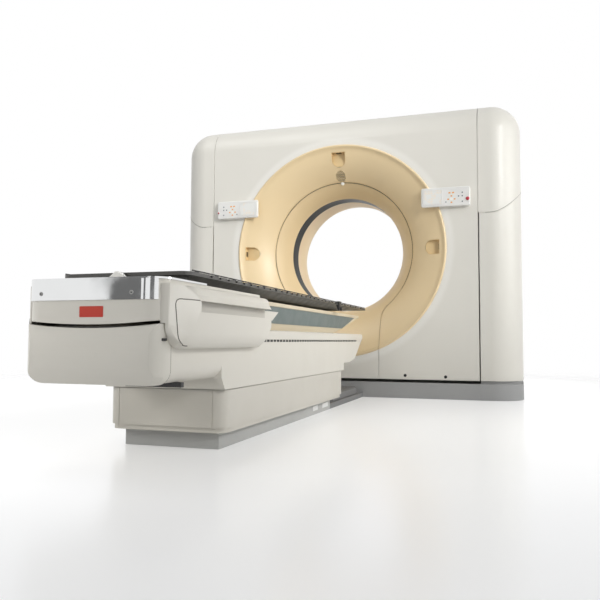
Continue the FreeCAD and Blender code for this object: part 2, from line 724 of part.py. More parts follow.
def tower_cover():
    profile_wall = d.cover_wall
    half = d.gantry_half_width
    outer_rect = rectangle(-half, half, -d.front_depth, d.front_depth)
    outer = prism("tower_form", "XY", outer_rect, cover_bottom, d.iso_height + d.dome_radius + 1)
    outer = round_edges(outer, d.corner_round, upright)
    inner_rect = rectangle(-half + profile_wall, half - profile_wall,
                           profile_wall - d.front_depth, d.front_depth - profile_wall)
    inner = prism("tower_core", "XY", inner_rect, cover_bottom - 1, d.iso_height + d.dome_radius + 1)
    inner = round_edges(inner, d.corner_round - profile_wall, upright, "Chamfer")

    def side_view(name, wall, inner_x):
        radius = d.dome_radius - wall
        reach = d.front_depth - wall
        height = d.iso_height + root(radius * radius - reach * reach)
        return prism(name, "YZ", [
            (-reach, cover_bottom - wall), (reach, cover_bottom - wall), (reach, height),
            (-reach, height, radius, 1)], inner_x, half + 1)

    skin = common("tower_skin", outer, side_view("tower_side", term(0), tower_inner))
    hollow = common("tower_hollow", inner, side_view("tower_side_core", profile_wall, tower_inner + profile_wall))
    hole = rod("tower_hole", "X", (tower_inner - 1, 0, d.iso_height), d.trunnion_hole, profile_wall + 2)
    return cut("tower_cover_right", skin, hollow, hole)


def tilt_bearing():
    start = (d.post_inner, 0, d.iso_height)
    ring = rod("bearing_blank", "X", start, d.bearing_bore - d.hairline, d.post_thickness)
    bore = rod("bearing_hole", "X", (d.post_inner - 1, 0, d.iso_height), d.trunnion_radius + d.hairline,
               d.post_thickness + 2)
    right = cut("bearing_right", ring, bore)
    return group("tilt_bearings", right, mirrored("bearing_left", right))


def tilt_gearbox():
    face = d.post_inner + d.post_thickness
    case = rod("gearbox_case", "X", (face, 0, d.iso_height), d.gearbox_radius, d.gearbox_depth)
    motor = rod("gearbox_motor", "Z", (face + d.gear_motor_radius + d.seam, 0, d.iso_height - d.gear_motor_length),
                d.gear_motor_radius, d.gear_motor_length - d.gearbox_radius / 2)
    bore = rod("gearbox_bore", "X", (face - 1, 0, d.iso_height), d.trunnion_radius + d.hairline,
               d.gearbox_depth / 2)
    return cut("tilt_gearbox", fuse("gearbox_body", case, motor), bore)


# ---- tilting frame and covers ----

def tilting_frame():
    reach = d.cheek_outer
    low = d.iso_height - d.frame_reach
    high = d.iso_height + d.frame_reach
    cut_in = d.frame_corner
    plate = prism("frame_plate_blank", "XZ", [
        (cut_in - reach, low), (reach - cut_in, low), (reach, low + cut_in), (reach, high - cut_in),
        (reach - cut_in, high), (cut_in - reach, high), (-reach, high - cut_in), (-reach, low + cut_in)],
        d.frame_front, d.frame_front + d.frame_plate)
    hole = rod("frame_ring_hole", "Y", (0, d.frame_front - 1, d.iso_height), d.frame_hole, d.frame_plate + 2)
    ring_plate = cut("frame_ring_plate", plate, hole)
    pieces = [ring_plate]
    for side in (-1, 1):
        ends = sorted((d.cheek_inner * side, d.cheek_outer * side), key=lambda end: end.value)
        pieces.append(prism("cheek", "YZ", [
            (-d.cheek_front, d.iso_height - d.cheek_front), (d.frame_front, d.iso_height - d.cheek_reach),
            (d.frame_front, d.iso_height + d.cheek_reach), (-d.cheek_front, d.iso_height + d.cheek_front)],
            *ends))
        length = d.post_inner + d.post_thickness - d.cheek_outer + d.gearbox_depth / 4
        start = d.cheek_outer if side > 0 else -d.cheek_outer - length
        pieces.append(rod("trunnion", "X", (start, 0, d.iso_height), d.trunnion_radius, length))
        for level in (-d.strut_level, d.strut_level):
            pieces.append(rod("strut", "Y", (d.strut_x * side, front_inside, d.iso_height + level),
                              d.strut_radius, rear_inside - front_inside))
    return fuse("tilt_frame", *pieces)


def centre_shell():
    half = d.centre_half_width
    belly_end = cover_bottom + d.belly_rise

    def side_view(name, wall):
        low = cover_bottom + wall
        return prism(name, "YZ", [
            (front_face + wall, low), (d.belly_start, low), (d.rear_depth - wall, belly_end + wall),
            (d.rear_depth - wall, d.gantry_top), (front_face + wall, d.gantry_top)],
            wall - half, half - wall)

    skin = common("centre_skin", outer_form, side_view("centre_side", term(0)))
    hollow = common("centre_hollow", inner_form, side_view("centre_side_core", d.cover_wall))
    holes = rod("trunnion_way", "X", (-half - 1, 0, d.iso_height), d.trunnion_hole, half * 2 + 2)
    return cut("centre_box", skin, hollow, holes)


def front_cover(shell):
    keep = block("front_side", (-WIDE, WIDE), (-WIDE, ridge - d.seam / 2), (-WIDE, WIDE))
    hole_radius = d.dish_radius + d.hairline
    hole = rod("dish_hole", "Y", (0, front_face - 10, d.iso_height), hole_radius, d.cover_wall + 10)
    panel_half = d.tongue_half_width + d.seam / 2
    way = block("panel_way", (-panel_half, panel_half), (front_face - 1, front_inside),
                (cover_bottom - 1, d.iso_height - d.funnel_seam_radius))
    halo_edge = d.dish_radius + d.halo_width
    halo = turned("halo_cut", [
        (d.dish_radius - 1, front_face + d.halo_depth), (halo_edge, front_face),
        (halo_edge, front_face - 1), (d.dish_radius - 1, front_face - 1)])
    return cut("front_cover", common("front_half", shell, keep), hole, way, halo)


def lower_front_panel():
    half = d.tongue_half_width - d.seam / 2
    sheet_part = block("panel_sheet", (-half, half), (front_face, front_inside),
                       (cover_bottom, d.iso_height - d.funnel_seam_radius))
    disc = rod("panel_disc_way", "Y", (0, front_face - 1, d.iso_height), d.dish_radius + d.hairline,
               d.cover_wall + 2)
    lip_top = d.iso_height - d.dish_radius - d.rim_flange - d.hairline
    lips = []
    for side in (-1, 1):
        ends = sorted(((half - d.rim_flange) * side, (half + d.rim_flange) * side), key=lambda end: end.value)
        lips.append(block("panel_lip", ends, (front_inside, front_inside + d.cover_wall),
                          (cover_bottom + d.cover_wall, lip_top)))
    return fuse("lower_front_panel", cut("panel_cut", sheet_part, disc), *lips)


def rear_cover(shell):
    keep = block("rear_side", (-WIDE, WIDE), (ridge + d.seam / 2, WIDE), (-WIDE, WIDE))
    mouth = rod("mouth_hole", "Y", (0, rear_inside - 1, d.iso_height), d.mouth_radius + d.seam,
                d.cover_wall + 2)
    vents = []
    for side in (-1, 1):
        for row in range(6):
            middle = (d.centre_half_width - d.corner_round) * side
            low = d.gantry_top - d.corner_round * 1.4 - d.slot_pitch * 3 * row
            vents.append(block("rear_vent", (middle - d.corner_round / 2, middle + d.corner_round / 2),
                               (rear_inside - 1, d.rear_depth + 1), (low, low + d.slot_pitch)))
    return cut("rear_cover", common("rear_half", shell, keep), mouth, *vents)


def side_cap():
    inner = d.centre_half_width + d.seam
    radius = d.dome_radius + d.dome_gap
    low = d.iso_height + root(radius * radius - d.front_depth * d.front_depth)

    def region(name, wall, start):
        space = block(f"{name}_space", (start, WIDE), (-WIDE, WIDE), (low + wall, WIDE))
        dome = rod(f"{name}_dome", "X", (0, 0, d.iso_height), radius + wall, WIDE)
        return cut(name, space, dome)

    skin = common("cap_skin", outer_form, region("cap_region", term(0), inner))
    hollow = common("cap_hollow", inner_form, region("cap_core_region", d.cover_wall, inner + d.cover_wall))
    web = common("cap_web", inner_form, region("cap_web_region", term(0), d.centre_half_width + d.hairline),
                 block("cap_web_slice", (0, inner + d.cover_wall), (-WIDE, WIDE), (-WIDE, WIDE)))
    return fuse("side_cap_right", cut("cap_shell", skin, hollow), web)


# ---- dish, funnel, scan window, tunnel ----

# centre of the circle that shapes dish and funnel, as radius and Y
def trumpet_centre():
    across = d.dish_radius - d.bore_radius
    along = d.front_depth - d.window_front
    chord = root(across * across + along * along)
    height = root(d.trumpet_radius * d.trumpet_radius - chord * chord / 4)
    middle_r = (d.dish_radius + d.bore_radius) / 2
    middle_y = -(d.front_depth + d.window_front) / 2
    return middle_r + height * along / chord, middle_y + height * across / chord


trumpet_r, trumpet_y = trumpet_centre()


# Y of the trumpet's skin at a radius, set back by a wall
def skin_y(radius, wall=0):
    curve = d.trumpet_radius - wall
    offset = trumpet_r - radius
    return trumpet_y - root(curve * curve - offset * offset)


def skin_r(y, wall=0):
    curve = d.trumpet_radius - wall
    offset = trumpet_y - y
    return trumpet_r - root(curve * curve - offset * offset)


# straight runs that follow the trumpet inwards, closer together where it is steep
def skin_runs(wall, start, end, steps):
    corners = []
    for step in range(steps + 1):
        radius = end + (start - end) * (1 - step / steps) ** 1.3
        corners.append((radius, skin_y(radius, wall)))
    return corners


def trumpet_skin():
    wall = d.cover_wall
    bead = d.dish_radius - d.rim_width
    neck = d.dish_radius - d.rim_neck
    flange = d.dish_radius + d.rim_flange
    bead_y = front_face - d.rim_rise
    front = skin_runs(0, bead, d.bore_radius, 7)
    back = skin_runs(wall, neck, skin_r(-d.window_front, wall), 3)
    back.reverse()
    return turned("trumpet_skin", [
        (flange, front_inside), (d.dish_radius, front_inside), (d.dish_radius, front_face),
        (d.dish_radius - d.rim_width / 4, bead_y), (d.dish_radius - d.rim_width * 0.7, bead_y),
        *front, *back, (flange, front_inside + wall)])


# everything behind the trumpet's skin, to trim the pieces that lie flush in it
def behind_skin(name, wall):
    runs = skin_runs(wall, d.dish_radius, skin_r(-d.window_front, wall), 7)
    return turned(name, [*runs, (d.dish_radius, -d.window_front)])


def keyhole(name, grow):
    ring = d.funnel_seam_radius + grow
    half = d.tongue_half_width + grow
    blend = d.tongue_blend - grow
    reach = ring + blend
    centre_x = half + blend
    drop = root(reach * reach - centre_x * centre_x)
    touch_x = centre_x * ring / reach
    touch_z = d.iso_height - drop * ring / reach
    blend_z = d.iso_height - drop
    bottom = d.plinth_height
    return prism(name, "XZ", [
        (half, bottom), (half, blend_z), (touch_x, touch_z, blend, -1), (-touch_x, touch_z, ring, 2),
        (-half, blend_z, blend, -1), (-half, bottom)], front_face - d.rim_width, -d.window_front + 1)


def scoop_outline(grow):
    half = d.scoop_half_width + grow
    flat = d.scoop_flat + grow
    return [(-half, flat), (-half, d.scoop_waist), (half, d.scoop_waist, d.scoop_curve + grow, 1), (half, flat)]


def front_lights(flush):
    cups = []
    lenses = []
    holes = []
    floor_y = front_face + d.scoop_floor
    for index, angle in enumerate((0, 90, -90)):
        turn = FreeCAD.Rotation(BORE_LINE, angle)
        place_at = {"turn": turn, "lift": d.iso_height}
        blank = prism(f"scoop_blank_{index}", "XZ", scoop_outline(d.scoop_wall), front_face - d.rim_width,
                      floor_y + d.scoop_wall, **place_at)
        void = prism(f"scoop_void_{index}", "XZ", scoop_outline(term(0)), front_face - d.rim_width, floor_y,
                     **place_at)
        cups.append(cut(f"scoop_cup_{index}", common(f"scoop_body_{index}", blank, flush), void))
        holes.append(prism(f"scoop_hole_{index}", "XZ", scoop_outline(d.scoop_wall + d.hairline),
                           front_face - d.rim_width, floor_y + d.rim_width, **place_at))
        lens_outline = rectangle(-d.lens_half_width, d.lens_half_width, d.scoop_flat - d.lens_thick,
                                 d.scoop_flat)
        lenses.append(prism(f"lens_{index}", "XZ", lens_outline, floor_y - d.lens_height - d.lens_thick,
                            floor_y - d.lens_thick, **place_at))
    return group("laser_pockets", *cups), group("laser_windows", *lenses), holes


def speaker():
    level = d.iso_height + d.speaker_reach
    start = (0, front_face, level)
    disc = rod("speaker_disc", "Y", start, d.speaker_radius, d.front_depth)
    inner = d.speaker_reach - d.speaker_radius
    outer = d.speaker_reach + d.speaker_radius
    cone = turned("speaker_cone", [
        (inner, skin_y(inner)), (outer, skin_y(outer)), (outer, skin_y(outer, d.speaker_wall)),
        (inner, skin_y(inner, d.speaker_wall))])
    slots = []
    for row in range(-2, 3):
        middle = level + d.slot_pitch * row * 1.3
        half = d.speaker_radius * (0.8 if abs(row) < 2 else 0.6)
        slots.append(block("speaker_slot", (-half, half), (front_face, 0),
                           (middle - d.slot_height / 2, middle + d.slot_height / 2)))
    hole = rod("speaker_hole", "Y", start, d.speaker_radius + d.hairline, d.front_depth)
    return cut("speaker_grille", common("speaker_plate", disc, cone), *slots), hole


def scan_window():
    outer = d.bore_radius + d.window_wall
    return turned("scan_window", rectangle(d.bore_radius, outer, -d.window_front, d.window_rear))


def rear_funnel():
    wall = d.cover_wall
    widen = d.mouth_radius - d.bore_radius
    run = d.rear_depth - d.tunnel_rear
    curve = (widen * widen + run * run) / (widen * 2)
    centre = d.bore_radius + curve
    flange_y = rear_inside - wall
    edge = d.mouth_radius + d.seam - d.hairline

    def flare(reach, last, steps):
        corners = []
        for step in range(steps + 1):
            y = d.tunnel_rear + (last - d.tunnel_rear) * (step / steps) ** 0.8
            offset = y - d.tunnel_rear
            corners.append((centre - root(reach * reach - offset * offset), y))
        return corners

    front = flare(curve, d.rear_depth, 5)
    back = flare(curve - wall, flange_y, 2)
    back.reverse()
    return turned("rear_funnel", [
        (d.bore_radius, d.window_rear), *front, (edge, d.rear_depth), (edge, rear_inside),
        (edge + d.mouth_flange, rear_inside), (edge + d.mouth_flange, flange_y), *back,
        (d.bore_radius + wall, d.window_rear)])


def control_panel():
    outline = rounded_rectangle(d.panel_inner, d.panel_outer, d.panel_low, d.panel_high, d.panel_round)
    face = front_face - d.panel_depth
    case = prism("panel_case", "XZ", outline, face, front_face)
    case = round_edges(case, d.panel_bevel, lambda box: box.YMax < face.value + 0.01, "Chamfer")
    disc = rod("panel_over_dish", "Y", (0, front_face - d.rim_width, d.iso_height),
               d.dish_radius + d.hairline * 5, d.rim_width * 2)
    low = d.panel_low + d.display_margin
    high = d.panel_high - d.display_margin
    start = d.panel_inner + d.display_margin
    glass = block("display_right", (start, start + d.display_width), (face - d.display_thick, face), (low, high))
    displays = group("panel_displays", glass, mirrored("display_left", glass))
    return cut("control_panel_right", case, disc), displays


# ---- rotor ----

def rotor_drum():
    rim = d.drum_radius - d.drum_wall
    rear = d.drum_plate_front + d.drum_plate
    hub = d.hub_radius + d.hub_wall
    return turned("rotor_drum", [
        (d.hub_radius, d.drum_plate_front), (rim, d.drum_plate_front), (rim, -d.drum_front),
        (d.drum_radius, -d.drum_front), (d.drum_radius, rear), (hub, rear), (hub, d.hub_rear),
        (d.hub_radius, d.hub_rear)])


def bearing_races():
    start = d.drum_plate_front + d.drum_plate
    inner = turned("bearing_inner_race", rectangle(d.race_inner, d.race_middle, start, start + d.race_width))
    outer_start = start + d.hairline * 10
    outer = turned("bearing_outer_race", rectangle(d.race_middle + d.hairline, d.race_outer, outer_start,
                                                   d.frame_front))
    return inner, outer


def slip_ring():
    base = d.hub_radius + d.hub_wall
    top = base + d.ring_height
    floor_r = base + d.ring_height / 2
    outline = [(base, d.ring_front)]
    y = d.ring_front
    tracks = int(round(d.ring_tracks.value))
    for track in range(tracks):
        outline.append((top, y))
        outline.append((top, y + d.ring_width))
        if track < tracks - 1:
            outline.append((floor_r, y + d.ring_width))
            outline.append((floor_r, y + d.ring_width + d.ring_groove))
        y = y + d.ring_width + d.ring_groove
    outline.append((base, y - d.ring_groove))
    return turned("slip_ring", outline)


def brush_block():
    top = d.hub_radius + d.hub_wall + d.ring_height
    return block("brush_block", (-d.brush_half_width, d.brush_half_width),
                 (d.brush_front, d.brush_front + d.brush_depth),
                 (d.iso_height + top + d.hairline * 2, d.iso_height + d.brush_reach))


def x_ray_tube():
    level = d.iso_height + d.tube_reach
    can = rod("tube_can", "Y", (0, -d.tube_front, level), d.tube_radius, d.tube_front + d.drum_plate_front)
    necks = []
    for side in (-1, 1):
        necks.append(rod("tube_neck", "Y", (d.tube_neck * side, -d.tube_front - d.tube_neck_length, level),
                         d.tube_neck / 2, d.tube_neck_length + 1))
    return fuse("x_ray_tube", can, *necks)


def collimator():
    low = d.iso_height + d.collimator_low
    high = d.iso_height + d.collimator_high
    return prism("collimator", "XZ", [
        (-d.collimator_nose, low), (d.collimator_nose, low), (d.collimator_half, high),
        (-d.collimator_half, high)], -d.collimator_front, d.drum_plate_front)


def detector_arc():
    focus = d.iso_height + d.focus_reach
    cosine = root(1 - d.detector_sine * d.detector_sine)

    def arc_strip(name, near, far, low, high):
        return prism(name, "XZ", [
            (-near * d.detector_sine, focus - near * cosine),
            (near * d.detector_sine, focus - near * cosine, near, 1),
            (far * d.detector_sine, focus - far * cosine),
            (-far * d.detector_sine, focus - far * cosine, far, -1)], low, high)

    near = d.detector_radius
    far = near + d.detector_thick
    modules = arc_strip("detector_modules", near, far, -d.detector_half, d.detector_half)
    bracket = arc_strip("detector_bracket", near + d.detector_thick / 4, far + d.detector_thick / 4,
                        d.detector_half, d.drum_plate_front)
    return fuse("detector_arc", modules, bracket)


def generator():
    case = block("generator_case", (-d.generator_outer, -d.generator_inner),
                 (-d.generator_front, d.drum_plate_front),
                 (d.iso_height - d.generator_half, d.iso_height + d.generator_half))
    socket_x = -(d.generator_outer + d.generator_inner) / 2
    socket = rod("generator_socket", "Z", (socket_x, 0, d.iso_height + d.generator_half), d.tube_neck / 2,
                 d.tube_neck)
    return fuse("high_voltage_generator", case, socket)


def tube_cooler():
    turn = FreeCAD.Rotation(BORE_LINE, 45)
    place_at = {"turn": turn, "lift": d.iso_height}
    case = prism("cooler_case", "XZ", rectangle(-d.cooler_half, d.cooler_half, d.cooler_inner, d.cooler_outer),
                 -d.cooler_front, d.drum_plate_front, **place_at)
    gaps = []
    steps = int((d.cooler_half.value * 2) // d.fin_pitch.value)
    for step in range(steps):
        low = d.fin_pitch * step + d.fin_gap / 2 - d.cooler_half
        gaps.append(prism(f"fin_gap_{step}", "XZ",
                          rectangle(low, low + d.fin_gap, d.cooler_outer - d.fin_depth, d.cooler_outer + 1),
                          -d.cooler_front - 1, d.cooler_front, **place_at))
    return cut("tube_cooler", case, *gaps)


# ---- rotor drive ----

# loop round the rotor rim and the motor pulley, grown outwards by a thickness
def belt_loop(name, grow):
    big = d.drum_radius + grow
    small = d.pulley_radius + grow
    gap = d.pulley_distance
    cosine = (big - small) / gap
    sine = root(1 - cosine * cosine)
    return prism(name, "XZ", [
        (big * cosine, big * sine), (big * cosine, -big * sine, big, 2),
        (gap + small * cosine, -small * sine), (gap + small * cosine, small * sine, small, 1)],
        d.belt_front, d.belt_front + d.belt_width, turn=FreeCAD.Rotation(BORE_LINE, 45), lift=d.iso_height)


def rotor_drive():
    belt = cut("drive_belt", belt_loop("belt_outside", d.hairline + d.belt_thick),
               belt_loop("belt_inside", d.hairline))
    axis_x = d.pulley_distance * math.sqrt(0.5)
    axis_z = d.iso_height - d.pulley_distance * math.sqrt(0.5)
    rim = d.pulley_radius + d.pulley_flange
    seat_low = d.belt_front - d.seam
    seat_high = d.belt_front + d.belt_width + d.seam
    pulley = turned("motor_pulley", [
        (0, seat_low - d.seam), (rim, seat_low - d.seam), (rim, seat_low), (d.pulley_radius, seat_low),
        (d.pulley_radius, seat_high), (rim, seat_high), (rim, seat_high + d.seam),
        (d.shaft_radius, seat_high + d.seam), (d.shaft_radius, d.motor_front + d.shaft_entry),
        (0, d.motor_front + d.shaft_entry)], axis_x, axis_z)
    motor = turned("drive_motor", [
        (d.shaft_radius + d.hairline, d.motor_front), (d.motor_radius, d.motor_front),
        (d.motor_radius, d.frame_front), (0, d.frame_front),
        (0, d.motor_front + d.shaft_entry + d.hairline),
        (d.shaft_radius + d.hairline, d.motor_front + d.shaft_entry + d.hairline)], axis_x, axis_z)
    return belt, pulley, motor


# ---- table base and lift ----

def ring_block(name, half, foot, head, low, high, wall, corner):
    outer = prism(f"{name}_outside", "XY", rectangle(-half, half, -foot, -head), low, high)
    inner = prism(f"{name}_inside", "XY",
                  rectangle(wall - half, half - wall, wall - foot, -head - wall), low - 1, high + 1)
    if corner is not None:
        outer = round_edges(outer, corner, upright)
        inner = round_edges(inner, corner - wall, upright)
    return cut(name, outer, inner)


def table_base_plate():
    plate = block("base_sheet", (-d.base_plate_half, d.base_plate_half),
                  (d.table_plinth_wall * 2 - d.plinth_foot, -d.plinth_joint - d.table_plinth_wall * 2),
                  (0, d.base_plate))
    holes = []
    for across in (-1, 1):
        for along in (-1, 1):
            spot = (d.table_anchor_x * across, d.table_anchor_y * along - d.column_middle, -1)
            holes.append(rod("table_anchor_hole", "Z", spot, d.table_anchor_radius, d.base_plate + 2))
    tube = column_tube("column_outer", 0, d.base_plate, d.column_top)
    return fuse("table_base_plate", cut("base_sheet_drilled", plate, *holes), tube)


# one tube of the telescopic column, counted inwards from the outer one
def column_tube(name, stage, low, high):
    inset = (d.column_wall + d.column_slip) * stage
    half_x = d.column_half_x - inset
    half_y = d.column_half_y - inset
    return ring_block(name, half_x, d.column_middle + half_y, d.column_middle - half_y, low, high,
                      d.column_wall, None)


def table_plinth():
    ring = ring_block("plinth_ring", d.plinth_half, d.plinth_foot, d.plinth_joint, term(0),
                      d.table_plinth_height, d.table_plinth_wall, None)
    foot_tab = block("plinth_tab", (-d.base_plate_half, d.base_plate_half),
                     (-d.plinth_joint - d.table_plinth_wall * 4, -d.plinth_joint - d.table_plinth_wall),
                     (d.base_plate, d.base_plate + d.table_plinth_wall))
    return fuse("table_plinth", ring, foot_tab)


def base_cover():
    lip_top = d.table_plinth_height + d.base_lip
    inset = d.base_lip_inset
    walls = ring_block("base_walls", d.base_half, d.base_foot, d.base_head, lip_top, d.base_top,
                       d.base_wall, d.base_round)
    ledge = ring_block("base_ledge", d.base_half, d.base_foot, d.base_head, lip_top, base_ledge_top,
                       d.base_wall * 4, d.base_round)
    lip = ring_block("base_lip_ring", d.base_half - inset, d.base_foot - inset, d.base_head + inset,
                     d.table_plinth_height, lip_top, d.base_wall, d.base_round - inset)
    flange = prism("base_flange", "XY", rectangle(inset - d.base_half + 1, d.base_half - inset - 1,
                                                  inset - d.base_foot + 1, -d.base_head - inset - 1),
                   d.table_plinth_height, d.table_plinth_height + d.base_wall)
    flange = round_edges(flange, d.base_round - inset, upright)
    opening = block("flange_opening", (-d.base_ledge, d.base_ledge),
                    (d.table_plinth_wall * 16 - d.base_foot, -d.plinth_joint - d.table_plinth_wall * 6),
                    (0, lip_top - 1))
    grooves = []
    for side in (-1, 1):
        middle = d.panel_joint * side
        grooves.append(block("joint_groove", (middle - d.joint_groove / 2, middle + d.joint_groove / 2),
                             (-d.base_foot - 1, d.joint_groove - d.base_foot), (lip_top - 1, d.base_top + 1)))
    return cut("base_cover", fuse("base_shell", walls, ledge, lip, flange), opening, *grooves)


def floor_duct():
    joint = d.plinth_joint - d.hairline
    end = d.front_depth + d.plinth_proud + d.hairline
    tray = block("duct_tray", (-d.plinth_half, d.plinth_half), (-joint, -end), (0, d.duct_height))
    lid = prism("duct_lid_block", "XY", rectangle(-d.duct_lid_half, d.duct_lid_half, -d.duct_lid_foot,
                                                  -d.duct_lid_head), d.duct_height, d.duct_lid)
    lid = round_edges(lid, d.duct_round, upright)
    lid = round_edges(lid, d.duct_round / 5, lambda box: box.ZMin > d.duct_lid.value - 0.01, "Chamfer")
    return fuse("floor_duct", tray, lid)


def skirt(name, stage, top):
    inset = d.base_wall + d.skirt_slip + (d.skirt_wall + d.skirt_step) * stage
    return ring_block(name, d.base_half - inset, d.base_foot - inset, d.base_head + inset,
                      base_ledge_top + d.hairline, top, d.skirt_wall, d.base_round - inset)


# ---- table body ----

def body_profile(wall):
    low = d.base_top + d.body_gap
    return [
        (wall - d.body_seam, d.body_top - wall), (wall - d.body_seam, d.body_overhang + wall),
        (-d.body_step_foot, d.body_overhang + wall), (d.body_step_run - d.body_step_foot, low),
        (-d.body_step_head, low), (-d.body_step_head, d.body_overhang + wall),
        (-(d.body_slant_foot + d.body_step_head) / 2, d.body_overhang + wall),
        (-d.body_slant_foot, d.body_slant_low + wall), (-d.body_nose - wall, d.body_nose_low),
        (-d.body_nose - wall, d.body_top - wall)]


def table_body():
    half = d.body_half
    outer = prism("body_outside", "YZ", body_profile(term(0)), -half, half)
    long_edge = (d.body_seam - d.body_nose).value * 0.9
    outer = round_edges(outer, d.body_edge, lambda box: box.YLength > long_edge)
    fade = d.body_step_foot - d.body_step_run
    edges = []
    for side in (-1, 1):
        corner = prism("overhang_corner", "XZ", [
            ((half + 1) * side, d.body_overhang - 1), ((half + 1) * side, d.body_overhang + d.foot_low_round),
            (half * side, d.body_overhang + d.foot_low_round),
            ((half - d.foot_low_round) * side, d.body_overhang, d.foot_low_round, -side),
            ((half - d.foot_low_round) * side, d.body_overhang - 1)], -d.body_seam - 1, -fade - d.body_step_run)
        edges.append(corner)
    inner = prism("body_inside", "YZ", body_profile(d.body_wall), d.body_wall - half, half - d.body_wall)
    keep = block("overhang_keep", (-half, half), (-d.body_seam, d.body_wall * 2 - d.body_step_foot),
                 (d.body_overhang, d.body_overhang + d.foot_low_round + d.body_wall))
    inner = cut("body_hollow", inner, keep)
    bottom = block("body_bottom_way", (d.body_wall - half, half - d.body_wall),
                   (d.body_step_run - d.body_step_foot + d.body_wall, -d.body_step_head - d.body_wall),
                   (0, d.chassis_low))
    tracks = []
    for side in (-1, 1):
        ends = sorted(((half - d.body_wall - 1) * side, (half + 1) * side), key=lambda end: end.value)
        tracks.append(block("track", ends, (-d.track_foot, -d.track_head), (d.track_low, d.track_high)))
    return cut("body_cover", outer, inner, bottom, *tracks, *edges)


def foot_cover():
    rear = -d.body_seam - d.hairline
    low_round = d.foot_low_round

    def shape(name, wall, reach):
        face = wall - d.foot_face
        bottom = d.foot_low + wall
        top = d.foot_high - wall
        half = d.body_half - wall
        side = prism(f"{name}_side", "YZ", [
            (face + d.foot_setback_high, top), (face + d.foot_setback_low, bottom, d.foot_curve - wall, 1),
            (reach, bottom), (reach, top)], -half, half)
        plan = prism(f"{name}_plan", "XY", rectangle(-half, half, face, reach), bottom, top)
        round_edges(plan, d.foot_round - wall, lambda box: upright(box) and box.YMax < face.value + 1)
        end = prism(f"{name}_end", "XZ", [
            (half, top), (-half, top), (-half, bottom + low_round - wall),
            (low_round - wall - half, bottom, low_round - wall, 1), (half - low_round + wall, bottom),
            (half, bottom + low_round - wall, low_round - wall, 1)], face, reach)
        forms = [side, plan, end]
        for turn_side in (-1, 1):
            reach_out = (d.body_half + d.foot_face - d.foot_round * 2) / SQUARE + d.foot_round - wall
            forms.append(prism(f"{name}_corner", "YZ", [
                (-reach_out, top), (-reach_out, bottom + low_round - wall),
                (low_round - wall - reach_out, bottom, low_round - wall, 1), (0, bottom), (0, top)],
                -WIDE, WIDE, turn=FreeCAD.Rotation(BORE_UP, 45 * turn_side)))
        return common(name, *forms)

    outer = shape("foot_outside", term(0), rear)
    inner = shape("foot_inside", d.body_wall, rear + d.body_wall)
    dip_radius = (d.body_half * d.body_half + d.foot_dip * d.foot_dip) / (d.foot_dip * 2)
    dip = rod("foot_dip_cut", "Y", (0, -d.foot_face - 1, d.foot_high - d.foot_dip + dip_radius), dip_radius,
              d.foot_face)
    return cut("foot_cover", outer, inner, dip)


def body_chassis():
    pieces = []
    for side in (-1, 1):
        ends = sorted((d.chassis_half * side, (d.chassis_half - d.chassis_rail) * side), key=lambda end: end.value)
        pieces.append(block("rail", ends, (-d.chassis_foot, -d.chassis_head),
                            (d.chassis_low, d.body_top - d.body_wall)))
    inset = (d.column_wall + d.column_slip) * 3
    pieces.append(block("column_plate", (-d.chassis_half, d.chassis_half),
                        (-d.column_middle - d.column_half_y + inset, inset * -1 + d.column_half_y - d.column_middle),
                        (d.chassis_low, d.body_top - d.body_wall)))
    pieces.append(column_tube("column_inner", 3, column_low, d.chassis_low))
    return fuse("body_chassis", *pieces)


def support_beam():
    top = d.support_top
    edge = top - d.support_flange
    outline = [
        (-d.support_foot_half, d.body_top), (d.support_foot_half, d.body_top),
        (d.support_web_low, d.support_web_base), (d.support_web_high, edge), (d.support_half, edge),
        (d.support_half, top), (-d.support_half, top), (-d.support_half, edge),
        (-d.support_web_high, edge), (-d.support_web_low, d.support_web_base)]
    beam = prism("beam_blank", "XZ", outline, -d.support_foot, -d.support_nose)
    nose = prism("beam_nose_cut", "YZ", [
        (-d.support_slant, d.body_top - 1), (-d.support_slant, d.body_top), (-d.support_nose, edge),
        (1 - d.support_nose, edge), (1 - d.support_nose, d.body_top - 1)], -d.body_half, d.body_half)
    wall = d.beam_wall
    hollow = prism("beam_hollow", "XZ", [
        (wall - d.support_foot_half, d.body_top + wall), (d.support_foot_half - wall, d.body_top + wall),
        (d.support_web_low - wall, d.support_web_base), (d.support_web_high - wall, edge),
        (d.support_web_high - wall, top - wall), (wall - d.support_web_high, top - wall),
        (wall - d.support_web_high, edge), (wall - d.support_web_low, d.support_web_base)],
        -d.support_foot - 1, -d.support_slant - wall)
    pad = block("slide_pad", (-d.pad_half, d.pad_half), (-d.pad_foot, -d.pad_head),
                (top, d.deck_top - d.hairline))
    return fuse("support_beam", cut("beam_shaped", beam, nose, hollow), pad)


def beam_side_panels():
    edge = d.support_top - d.support_flange
    thick = d.inlay_thick
    gap = d.support_flange / 8
    slope = (d.support_web_high - d.support_web_low) / (edge - d.support_web_base)
    high_x = d.support_web_high - slope * gap
    outline = [
        (d.support_web_low, d.support_web_base), (d.support_web_low + thick, d.support_web_base),
        (high_x + thick, edge - gap), (high_x, edge - gap)]
    strip = prism("inlay_strip", "XZ", outline, -d.inlay_foot, -d.inlay_head_high)
    corner = prism("inlay_corner", "YZ", [
        (-d.inlay_head_low, d.support_web_base - 1), (-d.inlay_head_low, d.support_web_base),
        (-d.inlay_head_high, edge), (1 - d.inlay_head_high, edge),
        (1 - d.inlay_head_high, d.support_web_base - 1)], 0, d.body_half)
    right = cut("beam_panel_right", strip, corner)
    return group("beam_side_panels", right, mirrored("beam_panel_left", right))


# ---- carriage and tabletop ----

